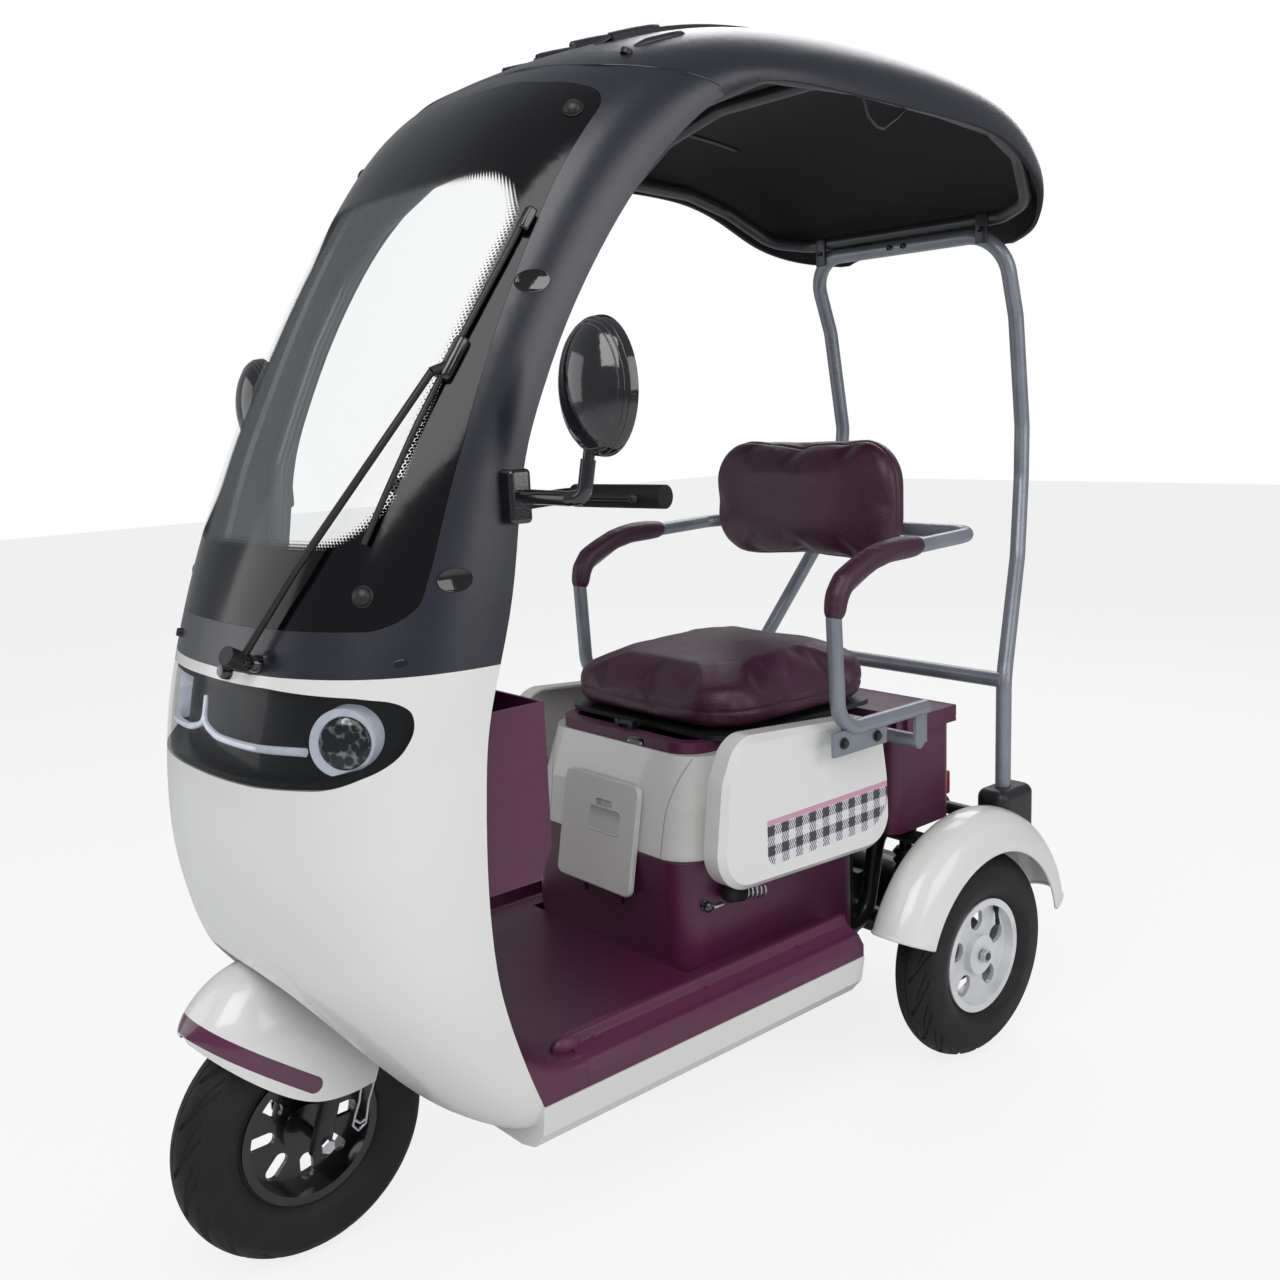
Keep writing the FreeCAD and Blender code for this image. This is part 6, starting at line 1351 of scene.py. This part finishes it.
class CAR_OT_seat_parts(bpy.types.Operator):
    """Bolts, latch, lock knob, bellows, floor screws, the hatch's grip and the floor ridges' ends"""

    bl_idname = "car.seat_parts"
    bl_label = "Seat and floor parts"

    def execute(self, context):
        self.make_bracket_bolts()
        self.make_latch()
        self.make_bellows()
        self.make_lock_knob()
        self.make_floor_screws(context.scene.car_sizes)
        self.make_grip()
        self.make_ridge_ends()
        return {"FINISHED"}

    def make_bracket_bolts(self):
        """Two black bolts through each armrest's plate."""
        places = both_sides(spot(0.330, 0.808, 0.630), spot(0.330, 0.890, 0.626))
        washer = [(-0.002, 0.0095), (0.0015, 0.0095), (0.0022, 0.0088), (0.0022, 0.0)]
        head = [(0.0, 0.0072), (0.0055, 0.0072), (0.0068, 0.0060), (0.0068, 0.0)]
        shape = bmesh.new()
        add_studs(shape, washer, "armrest_frame", places)
        add_studs(shape, head, "armrest_frame", places, 6)
        finish_piece("armrest_bolts", shape, "black_satin", "body", 25.0)

    def make_latch(self):
        """Black latch with two bright rivets at the middle of the seat box's front edge."""
        low, high, bevel = Vector((-0.024, -0.003, -0.006)), Vector((0.016, 0.010, 0.014)), 0.002
        large, small = dome(0.0032, 0.0025), dome(0.0024, 0.0020)
        large_place, small_place = Vector((0.009, -0.003, 0.004)), Vector((-0.022, -0.003, 0.004))
        seat = spot(0.052, 0.6105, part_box("seat_box")[1].z)
        body, rivets = bmesh.new(), bmesh.new()
        add_block(body, seat + low, seat + high, bevel)
        add_turned(rivets, large, seat + large_place, -BACK)
        add_turned(rivets, small, seat + small_place, -BACK)
        finish_piece("seat_latch", body, "black_gloss", "body")
        finish_piece("seat_latch_rivets", rivets, "silver_steel", "body")

    def make_bellows(self):
        """Rubber bellows with the start of its spring, low on each side of the seat's base."""
        gap, back, level = 0.0165, 0.632, 0.4045
        valley, ridge, fold, folds, first_fold, end = 0.0125, 0.0155, 0.003, 4, 0.0185, 0.043
        turns, coil, wire, length, spring_start, turn_steps = 5, 0.0125, 0.0019, 0.050, 0.040, 24
        way = Vector((0.0, 0.985, -0.17)).normalized()
        profile = [(0.0, 0.0), (0.001, 0.0085), (0.004, 0.0120), (0.010, 0.0150), (0.016, ridge)]
        for i in range(folds):
            place = first_fold + i * fold * 2
            profile += [(place, valley), (place + fold, ridge)]
        profile += [(end - 0.0005, valley), (end, 0.0)]
        first = UP - way * UP.dot(way)
        second = way.cross(first)
        rubber_shape, spring = bmesh.new(), bmesh.new()
        for side in (-1, 1):
            start = spot((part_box("seat_base")[1].x + gap) * side, back, level)
            add_turned(rubber_shape, profile, start, way, 32)
            points = []
            for i in range(turns * turn_steps + 1):
                turn = math.tau * i / turn_steps
                centre = start + way * (spring_start + length * i / (turns * turn_steps))
                points.append(centre + first * coil * math.cos(turn) + second * coil * math.sin(turn))
            add_pipe(spring, points, wire, 8)
        finish_piece("side_bellows", rubber_shape, "grip_rubber", "body", 50.0)
        finish_piece("side_springs", spring, "silver_steel", "body", 60.0)

    def make_lock_knob(self):
        """Round gloss knob and a bright pin on the left of the seat's base."""
        turned = [(-0.001, 0.0085), (0.002, 0.0085), (0.003, 0.006), (0.005, 0.0065), (0.008, 0.0088),
                  (0.0115, 0.0085), (0.0140, 0.0055), (0.0148, 0.0)]
        pin_low, pin_high, pin_bevel = Vector((-0.002, -0.006, -0.003)), Vector((0.005, 0.016, 0.003)), 0.0022
        knob, pin = bmesh.new(), bmesh.new()
        add_studs(knob, turned, "seat_base", [spot(0.21, 0.604, 0.389)])
        seat = seat_on("seat_base", spot(0.21, 0.628, 0.381))[0]
        add_block(pin, seat + pin_low, seat + pin_high, pin_bevel)
        finish_piece("base_lock_knob", knob, "black_gloss", "body")
        finish_piece("base_lock_pin", pin, "silver_steel", "body")

    def make_floor_screws(self, sizes):
        """Flat screws along the floor's ribs, in rings moulded round them."""
        ring = [(-0.002, 0.0078), (0.0006, 0.0076), (0.0009, 0.0066), (0.0002, 0.0058), (0.0002, 0.0)]
        level, screw_height = 0.2965, 0.0016
        floor_places = both_sides(spot(0.2684, 0.3228, level), spot(0.2682, 0.5437, level),
                                  spot(0.2677, 0.7466, level))
        shape = bmesh.new()
        add_studs(shape, ring, "floor_pan", floor_places, 26)
        add_studs(shape, ring, "leg_shield", both_sides(spot(0.2714, 0.2415, 0.298)), 26)
        for place in floor_places:
            add_screw(shape, *seat_on("floor_pan", place), sizes.screw_radius, screw_height)
        finish_piece("floor_screws", shape, "plum_satin", "body")

    def make_grip(self):
        """Recessed grip high on the hatch, drawn as a rimmed and shaded field."""
        half_width, half_height, corner, steps = 0.039, 0.020, 0.006, 32
        sunk, proud, rim_radius, rim_lift = 0.003, 0.0004, 0.0013, 0.0002
        place, out = seat_on("seat_box_hatch", spot(0.018, 0.52, 0.5165))
        turn = Matrix((LEFT, out.cross(LEFT), out)).transposed().to_4x4()
        matrix = Matrix.Translation(place) @ turn
        shape, rim = bmesh.new(), bmesh.new()
        add_block(shape, (-half_width, -half_height, -sunk), (half_width, half_height, proud), matrix=matrix)
        points = []
        for i in range(steps + 1):
            angle = math.tau * i / steps
            x = math.copysign(half_width - corner, math.cos(angle)) + corner * math.cos(angle)
            y = math.copysign(half_height - corner, math.sin(angle)) + corner * math.sin(angle)
            points.append(matrix @ Vector((x, y, rim_lift)))
        add_pipe(rim, points, rim_radius, 8, close=False)
        finish_piece("hatch_grip", shape, "grip_recess", "hatch")
        finish_piece("hatch_grip_rim", rim, "hatch_gloss", "hatch", 60.0)

    def make_ridge_ends(self):
        """Rounded front ends of the floor's two ridges."""
        half_sizes = (0.0135, 0.028, 0.019)
        shape = bmesh.new()
        for place in both_sides(spot(0.2545, 0.283, 0.292)):
            matrix = Matrix.Translation(place) @ Matrix.Diagonal((*half_sizes, 1.0))
            bmesh.ops.create_uvsphere(shape, u_segments=32, v_segments=18, radius=1.0, matrix=matrix)
        finish_piece("floor_ridge_ends", shape, "plum_satin", "body", 60.0)


class CAR_OT_wheel_parts(bpy.types.Operator):
    """Axle nuts and valves"""

    bl_idname = "car.wheel_parts"
    bl_label = "Wheel parts"

    def execute(self, context):
        self.make_nuts()
        for name, node, body in (("front_valve", "front_rim", "front_wheel"),
                                 ("rear_valve_left", "rear_rim_left", "rear_wheel_left"),
                                 ("rear_valve_right", "rear_rim_right", "rear_wheel_right")):
            self.make_valve(name, node, body)
        return {"FINISHED"}

    def make_nuts(self):
        """Hexagon nuts on both axles' ends."""
        rear_nut = [(0.0, 0.0125), (0.008, 0.0125), (0.0095, 0.011), (0.0095, 0.0)]
        front_nut = [(-0.004, 0.0110), (0.0, 0.0110), (0.0015, 0.0098), (0.0015, 0.0)]
        rear_inset, fork_half = 0.010, 0.0800
        rear, front = bmesh.new(), bmesh.new()
        rear_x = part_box("rear_axle")[1].x - rear_inset
        for side in (-1, 1):
            rear_place = Vector((side * rear_x, rear_axle.y, rear_axle.z))
            front_place = Vector((side * fork_half, front_axle.y, front_axle.z))
            add_turned(rear, rear_nut, rear_place, LEFT * side, 6)
            add_turned(front, front_nut, front_place, LEFT * side, 6)
        finish_piece("rear_axle_nuts", rear, "silver_steel", "body", 25.0)
        finish_piece("front_axle_nuts", front, "silver_steel", "steering", 25.0)

    def make_valve(self, name, node, body):
        """Rubber stem with a capped end, from the rim's well."""
        stem = [(-0.004, 0.0050), (0.004, 0.0046), (0.010, 0.0032), (0.022, 0.0032), (0.0225, 0.0040),
                (0.030, 0.0040), (0.0315, 0.0030), (0.0315, 0.0)]
        turn, well_radius, width_share, lean = math.radians(38), 0.088, 0.30, 0.55
        low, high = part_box(node)
        centre = (low + high) / 2
        side = -1 if centre.x < -0.1 else 1
        inward = -Vector((0, math.sin(turn), math.cos(turn)))
        start = centre + LEFT * side * (high.x - low.x) * width_share - inward * well_radius
        shape = bmesh.new()
        add_turned(shape, stem, start, inward + LEFT * side * lean, 16)
        finish_piece(name, shape, "grip_rubber", body)


class CAR_PT_panel(bpy.types.Panel):
    """Lists the pieces"""

    bl_idname = "CAR_PT_panel"
    bl_label = "Three wheeled car"
    bl_space_type = "VIEW_3D"
    bl_region_type = "UI"
    bl_category = "Three wheeled car"

    def draw(self, context):
        for piece in STAGES:
            self.layout.operator(piece.bl_idname)
        for group in (context.scene.car_colours, context.scene.car_sizes):
            for key in group.bl_rna.properties.keys():
                if key not in ("rna_type", "name"):
                    self.layout.prop(group, key)


STAGES = [
    STUDIO_OT_stage,
    CAR_OT_finishes,
    CAR_OT_tyres,
    CAR_OT_cushions,
    CAR_OT_fenders,
    CAR_OT_roof_parts,
    CAR_OT_front_parts,
    CAR_OT_seat_parts,
    CAR_OT_wheel_parts,
]
CLASSES = [CarColours, CarSizes] + STAGES + [CAR_PT_panel]


def register():
    """Registers the classes and hangs the settings on the scene."""
    for kind in CLASSES:
        bpy.utils.register_class(kind)
    bpy.types.Scene.car_colours = bpy.props.PointerProperty(type=CarColours)
    bpy.types.Scene.car_sizes = bpy.props.PointerProperty(type=CarSizes)


def unregister():
    """Takes the settings and classes away again."""
    del bpy.types.Scene.car_sizes
    del bpy.types.Scene.car_colours
    for kind in reversed(CLASSES):
        bpy.utils.unregister_class(kind)


def main():
    """Builds every piece in order."""
    register()
    bpy.ops.car.stage()
    bpy.ops.car.finishes()
    bpy.ops.car.tyres()
    bpy.ops.car.cushions()
    bpy.ops.car.fenders()
    bpy.ops.car.roof_parts()
    bpy.ops.car.front_parts()
    bpy.ops.car.seat_parts()
    bpy.ops.car.wheel_parts()


if __name__ == "__main__":
    main()
